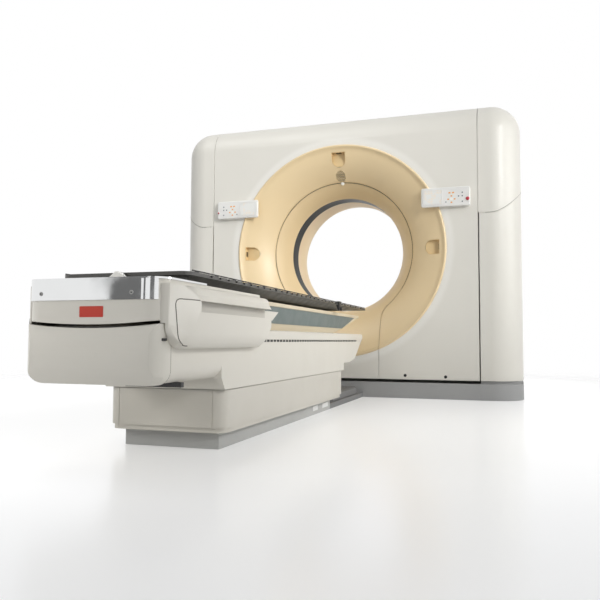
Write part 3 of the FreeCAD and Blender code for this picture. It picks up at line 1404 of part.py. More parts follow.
def carriage_cover():
    half = d.body_half
    wall = d.carriage_wall
    floor_z = d.carriage_edge_low - d.carriage_dip

    def shape(name, inset, low, high, head):
        body = prism(name, "XY", rectangle(inset - half, half - inset, inset - d.carriage_face, head), low, high)
        near = -d.carriage_face.value + d.carriage_round.value
        return round_edges(body, d.carriage_round - inset, lambda box: upright(box) and box.YMax < near)

    outer = shape("carriage_outside", term(0), floor_z, d.deck_top, -d.carriage_head)
    inner = shape("carriage_inside", wall, floor_z - 1, d.deck_top - d.deck_thick, 1 - d.carriage_head)
    dip_radius = (half * half + d.carriage_dip * d.carriage_dip) / (d.carriage_dip * 2)
    dip = block("dip_blank", (-half - 1, half + 1), (-d.carriage_face - 1, d.hairline - d.body_seam),
                (floor_z - 1, d.carriage_edge_low))
    bow = rod("dip_bow", "Y", (0, -d.carriage_face - 2, floor_z + dip_radius), dip_radius, d.carriage_face)
    sleeves = []
    for side in (-1, 1):
        ends = sorted(((d.support_half + d.sleeve_gap) * side, (half - wall) * side), key=lambda end: end.value)
        sleeves.append(prism("sleeve", "YZ", [
            (-d.carriage_head - wall, d.sleeve_low), (-d.sleeve_low_end, d.sleeve_low),
            (-d.sleeve_high_end, d.sleeve_high), (-d.carriage_head - wall, d.sleeve_high)], *ends))
    return fuse("carriage_cover", cut("carriage_shell", outer, inner, cut("dip_cut", dip, bow)), *sleeves)


def steel_band():
    def shape(name, grow, low, high):
        half = d.body_half + grow
        body = prism(name, "XY", rectangle(-half, half, -d.carriage_face - grow, -d.rail_end), low, high)
        near = -d.carriage_face.value + d.carriage_round.value
        return round_edges(body, d.carriage_round + grow, lambda box: upright(box) and box.YMax < near)

    thick = d.hairline + d.band_thick
    loop = cut("band_loop", shape("band_outside", thick, d.band_low, d.deck_top),
               shape("band_inside", d.hairline, d.band_low, d.deck_top))
    front = block("band_front", (-WIDE, WIDE), (-WIDE, -d.band_end), (0, WIDE))
    rail = cut("rail_loop", shape("rail_outside", thick, d.deck_top, d.rail_high),
               shape("rail_inside", thick - d.rail_width, d.deck_top - 1, d.rail_high + 1))
    back = block("rail_back", (-WIDE, WIDE), (-d.band_end - d.rail_width, WIDE), (0, WIDE))
    return fuse("steel_band", common("band_face", loop, front), common("rail_sides", rail, back))


def side_cover():
    inner = d.body_half + d.hairline + 0.1
    foot = -d.flank_foot
    outline = [
        (d.flank_wrap, d.flank_low), (d.flank_low_x, d.flank_low),
        (d.flank_outer, d.flank_belly, d.flank_turn, 1), (d.flank_outer, d.grip_low),
        (d.flank_outer, d.grip_high), (d.flank_bar, d.flank_top - d.flank_shoulder_curve),
        (d.flank_shoulder, d.flank_top, d.flank_shoulder_curve, 1), (d.flank_wrap, d.flank_top)]
    blank = prism("flank_blank", "XZ", outline, foot, -d.carriage_head)
    core = block("flank_core", (inner - 1, d.grip_floor - d.flank_wall),
                 (d.flank_wall * 3 - d.grip_foot, -d.carriage_head - d.flank_rake - d.flank_wall),
                 (d.flank_low + d.flank_wall, d.flank_top - d.flank_wall))
    grip = block("grip_cut", (d.grip_floor, WIDE), (-d.grip_foot, WIDE), (d.grip_low, d.grip_high))
    # the foot end wraps round the corner of the table
    table = prism("flank_bed", "XY", rectangle(-inner, inner, -d.carriage_face - d.hairline, 1),
                  d.flank_low - 1, d.flank_top + 1)
    near = -d.carriage_face.value + d.carriage_round.value
    table = round_edges(table, d.carriage_round, lambda box: upright(box) and box.YMax < near)
    neck = prism("flank_neck_cut", "XY", [
        (WIDE, foot - 1), (WIDE, -d.nose_start), (d.flank_outer, -d.nose_start),
        (d.flank_neck, foot - 1, d.nose_round, -1)], d.flank_low - 1, d.flank_top + 1)
    # the pouch's foot end is a facet that leans back as it rises
    fold = prism("pouch_fold_cut", "XY", [
        (0, 0), (d.fold_depth * 5, d.fold_run * 5), (d.fold_depth * 5 + d.fold_run, d.fold_run * 5),
        (d.fold_depth * 5 + d.fold_run, -d.fold_run), (0, -d.fold_run)], -WIDE / 2, WIDE / 2)
    place(fold, d.pouch_edge, -d.pouch_foot, d.grip_high, FreeCAD.Rotation(ACROSS, -31))
    sweep_z = d.flank_low + d.flank_sweep
    sweep = prism("flank_sweep_cut", "YZ", [
        (foot - 1, d.flank_low - 1), (foot + d.flank_sweep, d.flank_low - 1), (foot + d.flank_sweep, d.flank_low),
        (foot, sweep_z, d.flank_sweep, -1), (foot - 1, sweep_z)], 0, WIDE)
    low = block("flank_foot_way", (0, inner), (foot - 1, -d.body_seam),
                (d.flank_low - 1, d.foot_high + d.hairline))
    rake = prism("flank_rake_cut", "YZ", [
        (-d.carriage_head - d.flank_rake, d.flank_low - 1), (1 - d.carriage_head, d.flank_low - 1),
        (1 - d.carriage_head, d.flank_rake_high), (-d.carriage_head, d.flank_rake_high),
        (-d.carriage_head - d.flank_rake, d.flank_low)], 0, WIDE)
    stop = -d.carriage_head - d.flank_rake * 2
    runner = block("flank_runner", (d.runner_reach, inner + d.flank_wall), (stop - d.runner_length, stop),
                   (d.track_low + d.hairline * 2, d.track_high - d.hairline * 2))
    web = block("runner_web", (inner, d.grip_floor), (stop - d.runner_length, stop),
                (d.flank_low + d.flank_wall / 2, d.track_high + d.flank_wall))
    shell = cut("flank_shell", blank, core, grip, table, neck, fold, sweep, low, rake)
    return fuse("side_cover_right", shell, web, runner)


def tabletop():
    low = d.deck_top
    plate_low = d.top_height - d.top_plate
    plate = prism("top_sheet", "XY", rectangle(-d.top_half, d.top_half, -d.top_foot, -d.top_head), plate_low,
                  d.top_height)
    plate = round_edges(plate, d.top_corner, upright)
    rib = prism("top_rib", "XZ", [
        (-d.top_rib_low, low), (d.top_rib_low, low), (d.top_rib_half, plate_low), (-d.top_rib_half, plate_low)],
        d.top_corner - d.top_foot, -d.top_corner - d.top_head)
    rise = prism("rib_rise", "YZ", [
        (-d.top_taper, low - 1), (-d.top_taper, low), (-d.top_head, plate_low), (1 - d.top_head, plate_low),
        (1 - d.top_head, low - 1)], -d.top_half, d.top_half)
    notches = []
    for index in range(int(round(d.notch_count.value))):
        start = d.notch_pitch * index - d.notch_first
        for side in (-1, 1):
            ends = sorted(((d.top_half - d.notch_depth) * side, (d.top_half + 1) * side), key=lambda end: end.value)
            notches.append(block("notch", ends, (start, start + d.notch_length),
                                 (d.top_height - d.notch_deep, d.top_height + 1)))
    return cut("tabletop", fuse("top_board", plate, cut("rib_shaped", rib, rise)), *notches)


def head_clamp():
    jaw = d.clamp_jaw
    inner = d.top_half - d.clamp_bite
    outer = d.top_half + d.hairline + d.clamp_web
    top = d.top_height + d.hairline + jaw
    under = d.top_height - d.top_plate - d.hairline
    pin_z = d.top_height - d.clamp_drop
    low = pin_z - d.clamp_pin * 2
    body = prism("head_clamp", "XZ", [
        (inner, top), (inner, top - jaw), (d.top_half + d.hairline, top - jaw), (d.top_half + d.hairline, under),
        (d.top_half - d.clamp_bite / 2, under), (d.top_half - d.clamp_bite / 2, under - jaw / 2),
        (d.top_half + d.hairline, low), (outer, low), (outer, top)],
        -d.clamp_middle - d.clamp_half, d.clamp_half - d.clamp_middle)
    pin = rod("clamp_pin_rod", "X", (outer - 1, -d.clamp_middle, pin_z), d.clamp_pin, d.lever_thick + 1)
    return fuse("head_clamp", body, pin)


def clamp_lever():
    outer = d.top_half + d.hairline + d.clamp_web + d.hairline
    pin_z = d.top_height - d.clamp_drop
    half = d.lever_width / 2
    plate = prism("lever_plate", "YZ", [
        (-d.clamp_middle, pin_z - half * 1.5, half * 1.51, 1), (d.lever_length - d.clamp_middle, pin_z - half),
        (d.lever_length - d.clamp_middle, pin_z + half, half * 1.01, 1), (-d.clamp_middle, pin_z + half * 1.5)],
        outer, outer + d.lever_thick)
    hole = rod("lever_hole", "X", (outer - 1, -d.clamp_middle, pin_z), d.clamp_pin + d.hairline, d.lever_thick + 2)
    return cut("clamp_lever", plate, hole)


def tabletop_latch():
    foot = -d.top_foot - d.latch_back
    half = d.latch_width / 2
    wedge = prism("tabletop_latch", "XZ", [
        (-half, d.deck_top), (half, d.deck_top), (d.latch_tip, d.deck_top + d.latch_height),
        (-d.latch_tip, d.deck_top + d.latch_height)], foot - d.latch_depth, foot)
    return wedge


outer_form = cover_form("outer_form", term(0), d.plinth_height, "Fillet")
inner_form = cover_form("inner_form", d.cover_wall, d.plinth_height, "Chamfer")

parts = {"base_frame": floor_frame(), "plinth_panels": centre_plinths()}


def add_pair(name, right):
    parts[f"{name}_right"] = right
    parts[f"{name}_left"] = mirrored(f"{name}_left", right)


add_pair("plinth", side_plinth())
add_pair("tower_post", tower_post())
add_pair("tower_cover", tower_cover())
parts["tilt_bearings"] = tilt_bearing()
parts["tilt_gearbox"] = tilt_gearbox()

parts["tilt_frame"] = tilting_frame()
shell = centre_shell()
skin = trumpet_skin()
flush = behind_skin("behind_skin", term(0))
parts["laser_pockets"], parts["laser_windows"], light_holes = front_lights(flush)
parts["speaker_grille"], speaker_hole = speaker()
parts["front_cover"] = front_cover(shell)
parts["lower_front_panel"] = lower_front_panel()
parts["rear_cover"] = rear_cover(shell)
add_pair("side_cap", side_cap())
half_seam = d.seam / 2
parts["front_dish"] = cut("front_dish", skin, keyhole("keyhole_outside", half_seam), speaker_hole, *light_holes)
parts["front_funnel"] = common("front_funnel", skin, keyhole("keyhole_inside", -half_seam))
parts["scan_window"] = scan_window()
parts["rear_funnel"] = rear_funnel()
panel, parts["panel_displays"] = control_panel()
add_pair("control_panel", panel)

parts["rotor_drum"] = rotor_drum()
parts["bearing_inner_race"], parts["bearing_outer_race"] = bearing_races()
parts["slip_ring"] = slip_ring()
parts["brush_block"] = brush_block()
parts["x_ray_tube"] = x_ray_tube()
parts["collimator"] = collimator()
parts["detector_arc"] = detector_arc()
parts["high_voltage_generator"] = generator()
parts["tube_cooler"] = tube_cooler()
parts["drive_belt"], parts["motor_pulley"], parts["drive_motor"] = rotor_drive()

parts["table_base_plate"] = table_base_plate()
parts["table_plinth"] = table_plinth()
parts["base_cover"] = base_cover()
parts["floor_duct"] = floor_duct()
parts["skirt_lower"] = skirt("skirt_lower", 0, d.skirt_lower_top)
parts["skirt_upper"] = skirt("skirt_upper", 1, d.skirt_upper_top)
parts["column_lower"] = column_tube("column_lower", 1, column_low, d.column_top + d.column_step)
parts["column_upper"] = column_tube("column_upper", 2, column_low, d.column_top + d.column_step * 2)

parts["body_cover"] = table_body()
parts["foot_cover"] = foot_cover()
parts["body_chassis"] = body_chassis()
parts["support_beam"] = support_beam()
parts["beam_side_panels"] = beam_side_panels()

parts["carriage_cover"] = carriage_cover()
parts["steel_band"] = steel_band()
add_pair("side_cover", side_cover())
parts["tabletop"] = tabletop()
parts["tabletop_latch"] = tabletop_latch()
parts["head_clamp"] = head_clamp()
parts["clamp_lever"] = clamp_lever()

doc.recompute()

problems = [item.Label for item in doc.Objects if "Invalid" in item.State or "Error" in item.State]
for node, item in parts.items():
    item.Label = node
    if item.Shape.isNull() or not item.Shape.isValid() or not item.Shape.Solids:
        problems.append(node)
if problems:
    raise RuntimeError(f"failed: {', '.join(problems)}")

os.makedirs("parts", exist_ok=True)
for node, item in parts.items():
    item.Shape.exportStep(f"parts/{node}.step")
    box = item.Shape.BoundBox
    print(f"{node}: {len(item.Shape.Solids)} solids, {item.Shape.Volume / 1e6:.3f} dm3,",
          f"X {box.XMin:.0f}..{box.XMax:.0f} Y {box.YMin:.0f}..{box.YMax:.0f} Z {box.ZMin:.0f}..{box.ZMax:.0f}")
print(f"{len(parts)} nodes")
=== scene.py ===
import bpy
import bmesh
import json
import math
import numpy as np
from mathutils import Matrix, Vector
from mathutils.bvhtree import BVHTree


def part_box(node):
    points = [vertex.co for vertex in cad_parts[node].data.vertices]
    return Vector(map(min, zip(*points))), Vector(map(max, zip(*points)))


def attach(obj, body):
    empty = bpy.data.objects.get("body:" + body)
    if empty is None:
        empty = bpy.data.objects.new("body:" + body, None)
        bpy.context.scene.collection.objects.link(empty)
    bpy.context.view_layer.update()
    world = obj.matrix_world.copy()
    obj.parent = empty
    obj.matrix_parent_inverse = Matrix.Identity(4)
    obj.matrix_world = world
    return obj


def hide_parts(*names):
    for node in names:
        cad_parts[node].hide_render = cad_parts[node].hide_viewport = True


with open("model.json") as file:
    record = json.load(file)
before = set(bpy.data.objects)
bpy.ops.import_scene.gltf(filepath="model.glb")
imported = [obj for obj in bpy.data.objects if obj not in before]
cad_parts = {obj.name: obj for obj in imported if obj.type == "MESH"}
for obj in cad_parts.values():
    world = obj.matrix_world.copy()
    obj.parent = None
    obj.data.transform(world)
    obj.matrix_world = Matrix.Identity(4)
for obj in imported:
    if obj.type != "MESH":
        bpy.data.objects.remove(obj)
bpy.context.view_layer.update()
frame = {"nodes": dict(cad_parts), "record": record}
nodes = frame["nodes"]
record = frame["record"]
slotOf = {entry["node"]: entry["material_slot"] for entry in record["subparts"]}
bodyOf = {node: body for body, names in record["behaviour"]["bodies"].items() for node in names}
tiltJoint = next(joint for joint in record["behaviour"]["joints"] if joint["name"] == "gantry_tilt")
boreHeight = tiltJoint["pos_m"][2]
sides = ((1, "right"), (-1, "left"))


# an output socket with arithmetic, so that a map reads like a formula
class Wire:
    def __init__(self, graph, socket):
        self.graph = graph
        self.socket = socket

    def _math(self, operation, *others):
        return self.graph.node("ShaderNodeMath", self, *others, operation=operation)

    def __add__(self, other):
        return self._math("ADD", other)

    def __sub__(self, other):
        return self._math("SUBTRACT", other)

    def __mul__(self, other):
        return self._math("MULTIPLY", other)

    def __pow__(self, other):
        return self._math("POWER", other)

    def mod(self, other):
        return self._math("FLOORED_MODULO", other)

    def size(self):
        return self._math("ABSOLUTE")

    def step(self, low, high, start=0.0, end=1.0):
        return self.graph.node("ShaderNodeMapRange", self, low, high, start, end,
                               interpolation_type="SMOOTHSTEP")


class Graph:
    def __init__(self, name):
        self.material = bpy.data.materials.new(name)
        self.material.use_nodes = True
        self.tree = self.material.node_tree
        self.shader = self.tree.nodes["Principled BSDF"]
        coordinates = self.tree.nodes.new("ShaderNodeTexCoord")
        self.place = Wire(self, coordinates.outputs["Object"])
        self.x, self.y, self.z = self.split(self.place)

    def put(self, socket, value):
        if isinstance(value, Wire):
            self.tree.links.new(value.socket, socket)
        elif value is not None:
            isColour = hasattr(socket.default_value, "__len__") and len(socket.default_value) == 4
            socket.default_value = (*value, 1) if isColour and len(value) == 3 else value

    def node(self, kind, *inputs, output=0, **options):
        made = self.tree.nodes.new(kind)
        for name, value in options.items():
            if hasattr(made, name):
                setattr(made, name, value)
        for socket, value in zip(made.inputs, inputs):
            self.put(socket, value)
        for name, value in options.items():
            if not hasattr(made, name):
                self.put(made.inputs[name.replace("_", " ")], value)
        return Wire(self, made.outputs[output])

    def split(self, vector):
        made = self.tree.nodes.new("ShaderNodeSeparateXYZ")
        self.put(made.inputs[0], vector)
        return [Wire(self, socket) for socket in made.outputs]

    # distance from a line along Y at a height, which is the bore's own unless another is given
    def fromBore(self, height=boreHeight):
        rise = self.z - height
        return (self.x * self.x + rise * rise) ** 0.5

    def noise(self, scale, detail=2.0, stretch=(1, 1, 1), rough=0.5):
        spot = self.node("ShaderNodeVectorMath", self.place, stretch, operation="MULTIPLY")
        return self.node("ShaderNodeTexNoise", Vector=spot, Scale=scale, Detail=detail, Roughness=rough)

    def mix(self, amount, one, two):
        made = self.tree.nodes.new("ShaderNodeMix")
        made.data_type = "RGBA"
        self.put(made.inputs["Factor"], amount)
        self.put(made.inputs[6], one)
        self.put(made.inputs[7], two)
        return Wire(self, made.outputs[2])

    def bump(self, height, depth, strength=1.0, under=None):
        return self.node("ShaderNodeBump", Strength=strength, Distance=depth, Height=height, Normal=under)

    def finish(self, **values):
        for name, value in values.items():
            self.put(self.shader.inputs[name.replace("_", " ")], value)
        return self.material


# a colour as the eye reads it, 0 to 255, turned into scene-linear values
def tone(red, green, blue):
    parts = [channel / 255 for channel in (red, green, blue)]
    return tuple(part / 12.92 if part < 0.04045 else ((part + 0.055) / 1.055) ** 2.4 for part in parts)


def darker(colour, share):
    return tuple(channel * share for channel in colour)


# where painted shade darkens the colour inside the finger groove, and a painted highlight brightens it round
# the dish
grooveShade = {"wall": (0.268, 0.276), "floor": (0.470, 0.476), "roof": (0.507, 0.511),
              "end": (-3.062, -3.056), "share": 0.45}
dishHighlight = {"radius": (0.79, 0.832), "front": (-0.3, -0.25), "share": 0.28}


# moulded and sprayed covers: faint mottling, fine orange peel, a little dust near the floor, and where asked
# painted shade in the finger groove and a painted highlight round the dish
def coverPaint(name, colour, gloss=0.4, mottling=0.03, dust=0.06, peel=0.00006, groove=False, ring=False):
    g = Graph(name)
    cloud = g.noise(1.7, 3)
    fine = g.noise(38, 4)
    aged = g.mix(cloud.step(0.35, 0.7), colour, darker(colour, 1 - mottling))
    speck = g.mix(fine.step(0.62, 0.8) * 0.35, aged, darker(colour, 0.93))
    low = (g.z * -1).step(-0.45, -0.02) * dust
    base = g.mix(low, speck, tone(150, 140, 122))
    if groove:
        # painted shade: the cover's colour is darker inside the finger groove
        level = g.z.step(*grooveShade["floor"]) * g.z.step(*grooveShade["roof"], 1.0, 0.0)
        inside = g.x.size().step(*grooveShade["wall"], 1.0, 0.0) * level * g.y.step(*grooveShade["end"])
        base = g.mix(inside * grooveShade["share"], base, darker(colour, 0.5))
    if ring:
        # painted highlight: a brighter ring on the front cover round the dish
        near = g.fromBore().step(*dishHighlight["radius"], 1.0, 0.0) * g.y.step(*dishHighlight["front"], 1.0, 0.0)
        base = g.mix(near * dishHighlight["share"], base, tone(250, 249, 245))
    rough = g.noise(6, 3).step(0.3, 0.7, gloss - 0.05, gloss + 0.07)
    skin = g.bump(g.noise(420, 2), peel, 0.5)
    return g.finish(Base_Color=base, Roughness=rough, Normal=skin, Coat_Weight=0.12, Coat_Roughness=0.25)


# powder-coated sheet: tight grain, scuffs that run along the floor
def sheetPaint(name, colour, gloss=0.5, scuffs=0.25, grain=900):
    g = Graph(name)
    cloud = g.noise(4, 4)
    base = g.mix(cloud.step(0.3, 0.75), colour, darker(colour, 0.93))
    streak = g.noise(26, 5, (0.25, 0.25, 6), 0.6).step(0.6, 0.72)
    low = (g.z * -1).step(-0.12, -0.01)
    base = g.mix(streak * low * scuffs, base, darker(colour, 0.55))
    rough = g.noise(12, 3).step(0.3, 0.7, gloss - 0.06, gloss + 0.08)
    return g.finish(Base_Color=base, Roughness=rough, Normal=g.bump(g.noise(grain, 2), 0.00012, 0.6))


# turned, ground or drawn metal with lines along one axis
def bareMetal(name, colour, gloss=0.3, lines=(1, 60, 1), scale=30, depth=0.00004):
    g = Graph(name)
    drawn = g.noise(scale, 4, lines, 0.6)
    stain = g.noise(5, 4)
    base = g.mix(stain.step(0.45, 0.75) * 0.4, colour, darker(colour, 0.72))
    rough = drawn.step(0.3, 0.7, gloss - 0.08, gloss + 0.1)
    return g.finish(Base_Color=base, Roughness=rough, Metallic=1.0, Normal=g.bump(drawn, depth, 0.5))


# plain moulded plastic with a light sparked texture
def plastic(name, colour, gloss=0.45, grain=600, depth=0.0001, coat=0.0):
    g = Graph(name)
    base = g.mix(g.noise(9, 4).step(0.35, 0.7), colour, darker(colour, 0.94))
    rough = g.noise(15, 2).step(0.3, 0.7, gloss - 0.05, gloss + 0.05)
    skin = g.bump(g.noise(grain, 3), depth, 0.5)
    return g.finish(Base_Color=base, Roughness=rough, Normal=skin, Coat_Weight=coat)


# the ring's moulding lines: the height they run round, a little above the bore's, and their count per metre
ringLines = {"height": 1.1, "count": 900}


# dark plastic ring that the beam passes through: smooth, with faint moulding lines
def windowRing(name, colour):
    g = Graph(name)
    base = g.mix(g.noise(14, 3).step(0.4, 0.7), colour, darker(colour, 0.86))
    rough = g.noise(5, 2).step(0.3, 0.7, 0.3, 0.38)
    lines = g.bump((g.fromBore(ringLines["height"]) * ringLines["count"]).mod(1.0), 0.000004, 0.4)
    return g.finish(Base_Color=base, Roughness=rough, Normal=lines, Specular_IOR_Level=0.1)


# the tabletop's coated board: long fibres under a satin film, rubbed paler along the edges
def boardCoat(name, colour):
    g = Graph(name)
    fibre = g.noise(34, 5, (9, 0.35, 9), 0.65)
    base = g.mix(fibre.step(0.3, 0.75), darker(colour, 0.93), colour)
    edge = g.x.size().step(0.2, 0.24)
    scratch = g.noise(60, 3, (0.4, 6, 1)).step(0.66, 0.74)
    base = g.mix(scratch * edge * 0.16, base, tone(150, 149, 143))
    rough = g.noise(20, 4).step(0.3, 0.7, 0.3, 0.44)
    weave = g.bump(fibre, 0.00006, 0.6)
    return g.finish(Base_Color=base, Roughness=rough, Normal=weave, Coat_Weight=0.2, Coat_Roughness=0.3)


# ribbed mat over the floor duct
def ribbedMat(name, colour):
    g = Graph(name)
    rib = (g.x * 160).mod(1.0).step(0.2, 0.5) * (g.x * -160).mod(1.0).step(0.2, 0.5)
    dust = g.noise(30, 4).step(0.4, 0.8)
    # painted shade: the grooves between the ribs are half as bright as the rib tops; the dusty patches are
    # dirt
    base = g.mix(dust * 0.3, g.mix(rib, darker(colour, 0.5), colour), tone(120, 116, 108))
    return g.finish(Base_Color=base, Roughness=0.62, Normal=g.bump(rib, 0.0006))


# panel glass with a faint cell pattern and no writing
def displayGlass(name):
    g = Graph(name)
    cell = (g.x * 50).mod(1.0).step(0.1, 0.3) * (g.z * 50).mod(1.0).step(0.1, 0.3)
    warm = g.noise(30, 1).step(0.52, 0.58) * cell
    base = g.mix(warm * 0.7, tone(228, 228, 223), tone(236, 224, 206))
    return g.finish(Base_Color=base, Roughness=0.2, Coat_Weight=0.4)


# punched metal over the loudspeaker: rows of round holes
def speakerMesh(name, colour):
    g = Graph(name)
    column = (g.x * 145).mod(1.0) - 0.5
    row = (g.z * 145).mod(1.0) - 0.5
    reach = column * column + row * row
    hole = reach.step(0.075, 0.12)
    # painted shade: the holes are dark tan, for the shade in the hollow behind the plate
    base = g.mix(hole, tone(70, 58, 40), colour)
    return g.finish(Base_Color=base, Roughness=0.5, Normal=g.bump(hole, 0.001))


coverCream = tone(222, 219, 210)
tableCream = tone(214, 210, 200)
dishTan = tone(229, 206, 164)
plinthGrey = tone(158, 158, 157)

finishes = {
    # with a painted highlight round the dish
    "cover_cream": coverPaint("cover_cream", coverCream, ring=True),
    "dish_tan": coverPaint("dish_tan", dishTan, 0.42, 0.035, 0.0),
    "window_dark": windowRing("window_dark", tone(14, 12, 7)),
    "plinth_grey": sheetPaint("plinth_grey", plinthGrey),
    "frame_paint": sheetPaint("frame_paint", tone(88, 93, 98)),
    "bearing_steel": bareMetal("bearing_steel", tone(170, 172, 174), 0.25),
    "panel_white": plastic("panel_white", tone(228, 227, 223), 0.4, 700, 0.00005),
    "display_glass": displayGlass("display_glass"),
    "lens_dark": plastic("lens_dark", tone(28, 24, 22), 0.08, 900, 0.00001, 0.6),
    "pocket_tan": plastic("pocket_tan", tone(224, 196, 146), 0.45),
    "drum_alloy": bareMetal("drum_alloy", tone(188, 190, 192), 0.34),
    "housing_white": sheetPaint("housing_white", tone(205, 205, 200)),
    "tube_bronze": sheetPaint("tube_bronze", tone(120, 112, 98), 0.38),
    "motor_dark": sheetPaint("motor_dark", tone(48, 51, 55), 0.45),
    "belt_rubber": plastic("belt_rubber", tone(30, 30, 30), 0.75, 300, 0.0003),
    "ring_brass": bareMetal("ring_brass", tone(205, 170, 105), 0.22),
    "insulator": plastic("insulator", tone(60, 60, 63), 0.6),
    "base_cream": coverPaint("base_cream", darker(tableCream, 0.93), 0.42, 0.03, 0.12),
    "skirt_cream": sheetPaint("skirt_cream", darker(tableCream, 0.88)),
    "duct_grey": ribbedMat("duct_grey", tone(128, 128, 128)),
    "column_steel": sheetPaint("column_steel", tone(96, 98, 100)),
    "body_cream": coverPaint("body_cream", tableCream, 0.36, 0.03, 0.0),
    "beam_tan": coverPaint("beam_tan", tone(214, 201, 175), 0.4, 0.03, 0.0),
    "inlay_teal": plastic("inlay_teal", tone(109, 119, 117), 0.5, 700, 0.00004),
    "band_chrome": bareMetal("band_chrome", tone(230, 231, 231), 0.1, (1, 1, 1), 6, 0.0),
    # with painted shade in the finger groove
    "flank_cream": coverPaint("flank_cream", tableCream, 0.36, 0.03, 0.0, groove=True),
    "top_board": boardCoat("top_board", tone(68, 67, 64)),
    "clamp_grey": plastic("clamp_grey", tone(48, 48, 48)),
    "latch_white": plastic("latch_white", tone(240, 239, 234)),
}

for name, item in nodes.items():
    item.data.materials.clear()
    item.data.materials.append(finishes[slotOf[name]])
nodes["speaker_grille"].data.materials[0] = speakerMesh("speaker_mesh", dishTan)
# painted light: the table's plinth takes a lighter copy of the plinth grey, against the shade under the
# base's overhang
nodes["table_plinth"].data.materials[0] = sheetPaint("plinth_grey_lit_copy", tone(178, 178, 175))
print("materials", len(finishes))


# angles in degrees up to which a surface runs on smoothly
smoothUpTo = {"corner": 32, "broad": 62}


# merges a mesh's points, and keeps only its real corners sharp
def soften(mesh, angle):
    work = bmesh.new()
    work.from_mesh(mesh)
    bmesh.ops.remove_doubles(work, verts=work.verts, dist=0.00002)
    limit = math.radians(angle)
    for face in work.faces:
        face.smooth = True
    for edge in work.edges:
        edge.smooth = len(edge.link_faces) == 2 and edge.calc_face_angle(0) < limit
    work.to_mesh(mesh)
    work.free()


def dress(piece, body):
    bpy.context.scene.collection.objects.link(piece)
    evened = piece.modifiers.new("even", "WEIGHTED_NORMAL")
    evened.keep_sharp = True
    evened.weight = 60
    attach(piece, body)
    return piece


# the left side cover's foot end stays behind the line of the band, as seen in the photograph
bandLine = {"x": 1.201, "y": -4.8786, "slope": -0.849, "leftOf": -0.2}


def behindBand(x, y):
    if x >= bandLine["leftOf"]:
        return x
    return max(x, bandLine["x"] + bandLine["slope"] * (y - bandLine["y"]))


# a node's surface without facets, in the node's place
def smoothSkin(name, angle):
    mesh = nodes[name].data.copy()
    soften(mesh, angle)
    if name == "side_cover_left":
        for point in mesh.vertices:
            point.co.x = behindBand(point.co.x, point.co.y)
    piece = dress(bpy.data.objects.new(f"{name}_skin", mesh), bodyOf[name])
    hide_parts(name)


broadForms = ["front_dish", "body_cover", "side_cover_left", "side_cover_right"]
skinned = [
    "front_cover", "rear_cover", "side_cap_left", "side_cap_right", "tower_cover_left", "tower_cover_right",
    "front_dish", "front_funnel", "rear_funnel", "scan_window", "lower_front_panel", "speaker_grille",
    "plinth_left", "plinth_right", "laser_pockets", "control_panel_left", "control_panel_right",
    "base_cover", "table_plinth", "floor_duct", "body_cover", "foot_cover", "support_beam", "carriage_cover",
    "side_cover_left", "side_cover_right", "beam_side_panels", "steel_band", "tabletop", "tabletop_latch",
    "head_clamp", "clamp_lever", "skirt_lower", "skirt_upper", "x_ray_tube", "rotor_drum", "drive_motor",
    "motor_pulley", "tilt_gearbox",
]
for name in skinned:
    smoothSkin(name, smoothUpTo["broad" if name in broadForms else "corner"])
print("skins", len(skinned))


# forms are a list of points and a list of faces
def joined(*forms):
    points = []
    faces = []
    for form in forms:
        start = len(points)
        points.extend(form[0])
        faces.extend([tuple(index + start for index in face) for face in form[1]])
    return points, faces


# local Z turned to look along facing, local X level
def placed(form, at, facing=(0, -1, 0), up=(0, 0, 1)):
    ahead = Vector(facing).normalized()
    side = Vector(up).cross(ahead).normalized()
    turn = Matrix((side, ahead.cross(side), ahead)).transposed()
    spot = Vector(at)
    return [spot + turn @ Vector(point) for point in form[0]], form[1]


def roundedOutline(width, height, corner, steps=5):
    corner = min(corner, width / 2 - 1e-6, height / 2 - 1e-6)
    points = []
    for turn, (side, level) in enumerate(((1, 1), (-1, 1), (-1, -1), (1, -1))):
        for step in range(steps + 1):
            angle = math.pi / 2 * (turn + step / steps)
            points.append((side * (width / 2 - corner) + corner * math.cos(angle),
                           level * (height / 2 - corner) + corner * math.sin(angle)))
    return points


# stacked outlines joined by bands, with flat ends
def stacked(rings):
    count = len(rings[0])
    points = [point for ring in rings for point in ring]
    faces = [tuple(reversed(range(count)))]
    for level in range(len(rings) - 1):
        for index in range(count):
            after = (index + 1) % count
            faces.append((level * count + index, level * count + after,
                          (level + 1) * count + after, (level + 1) * count + index))
    faces.append(tuple(range((len(rings) - 1) * count, len(rings) * count)))
    return points, faces


# a plate with round corners and a rolled front edge, standing on local Z = 0
def plate(width, height, depth, corner, edge, steps=5):
    rings = []
    for inset, level in ((0, 0), (0, depth - edge), (edge * 0.3, depth - edge * 0.3), (edge, depth)):
        ring = roundedOutline(width - inset * 2, height - inset * 2, max(corner - inset, 0.0002), steps)
        rings.append([(x, y, level) for x, y in ring])
    return stacked(rings)


# a turned form about local Z from pairs of radius and height
def lathed(profile, steps=24):
    rings = []
    for radius, level in profile:
        angles = [math.tau * step / steps for step in range(steps)]
        rings.append([(radius * math.cos(angle), radius * math.sin(angle), level) for angle in angles])
    return stacked(rings)


# a bar between two corners, rolled along its edges
def bar(low, high, edge=0.0005):
    middle = [(a + b) / 2 for a, b in zip(low, high)]
    form = plate(high[0] - low[0], high[1] - low[1], high[2] - low[2], edge, edge, 3)
    return placed(form, (middle[0], middle[1], low[2]), (0, 0, 1), (0, 1, 0))


def addPiece(name, form, material, body):
    mesh = bpy.data.meshes.new(name)
    mesh.from_pydata([tuple(point) for point in form[0]], [], form[1])
    mesh.materials.append(material)
    soften(mesh, smoothUpTo["corner"])
    return dress(bpy.data.objects.new(name, mesh), body)


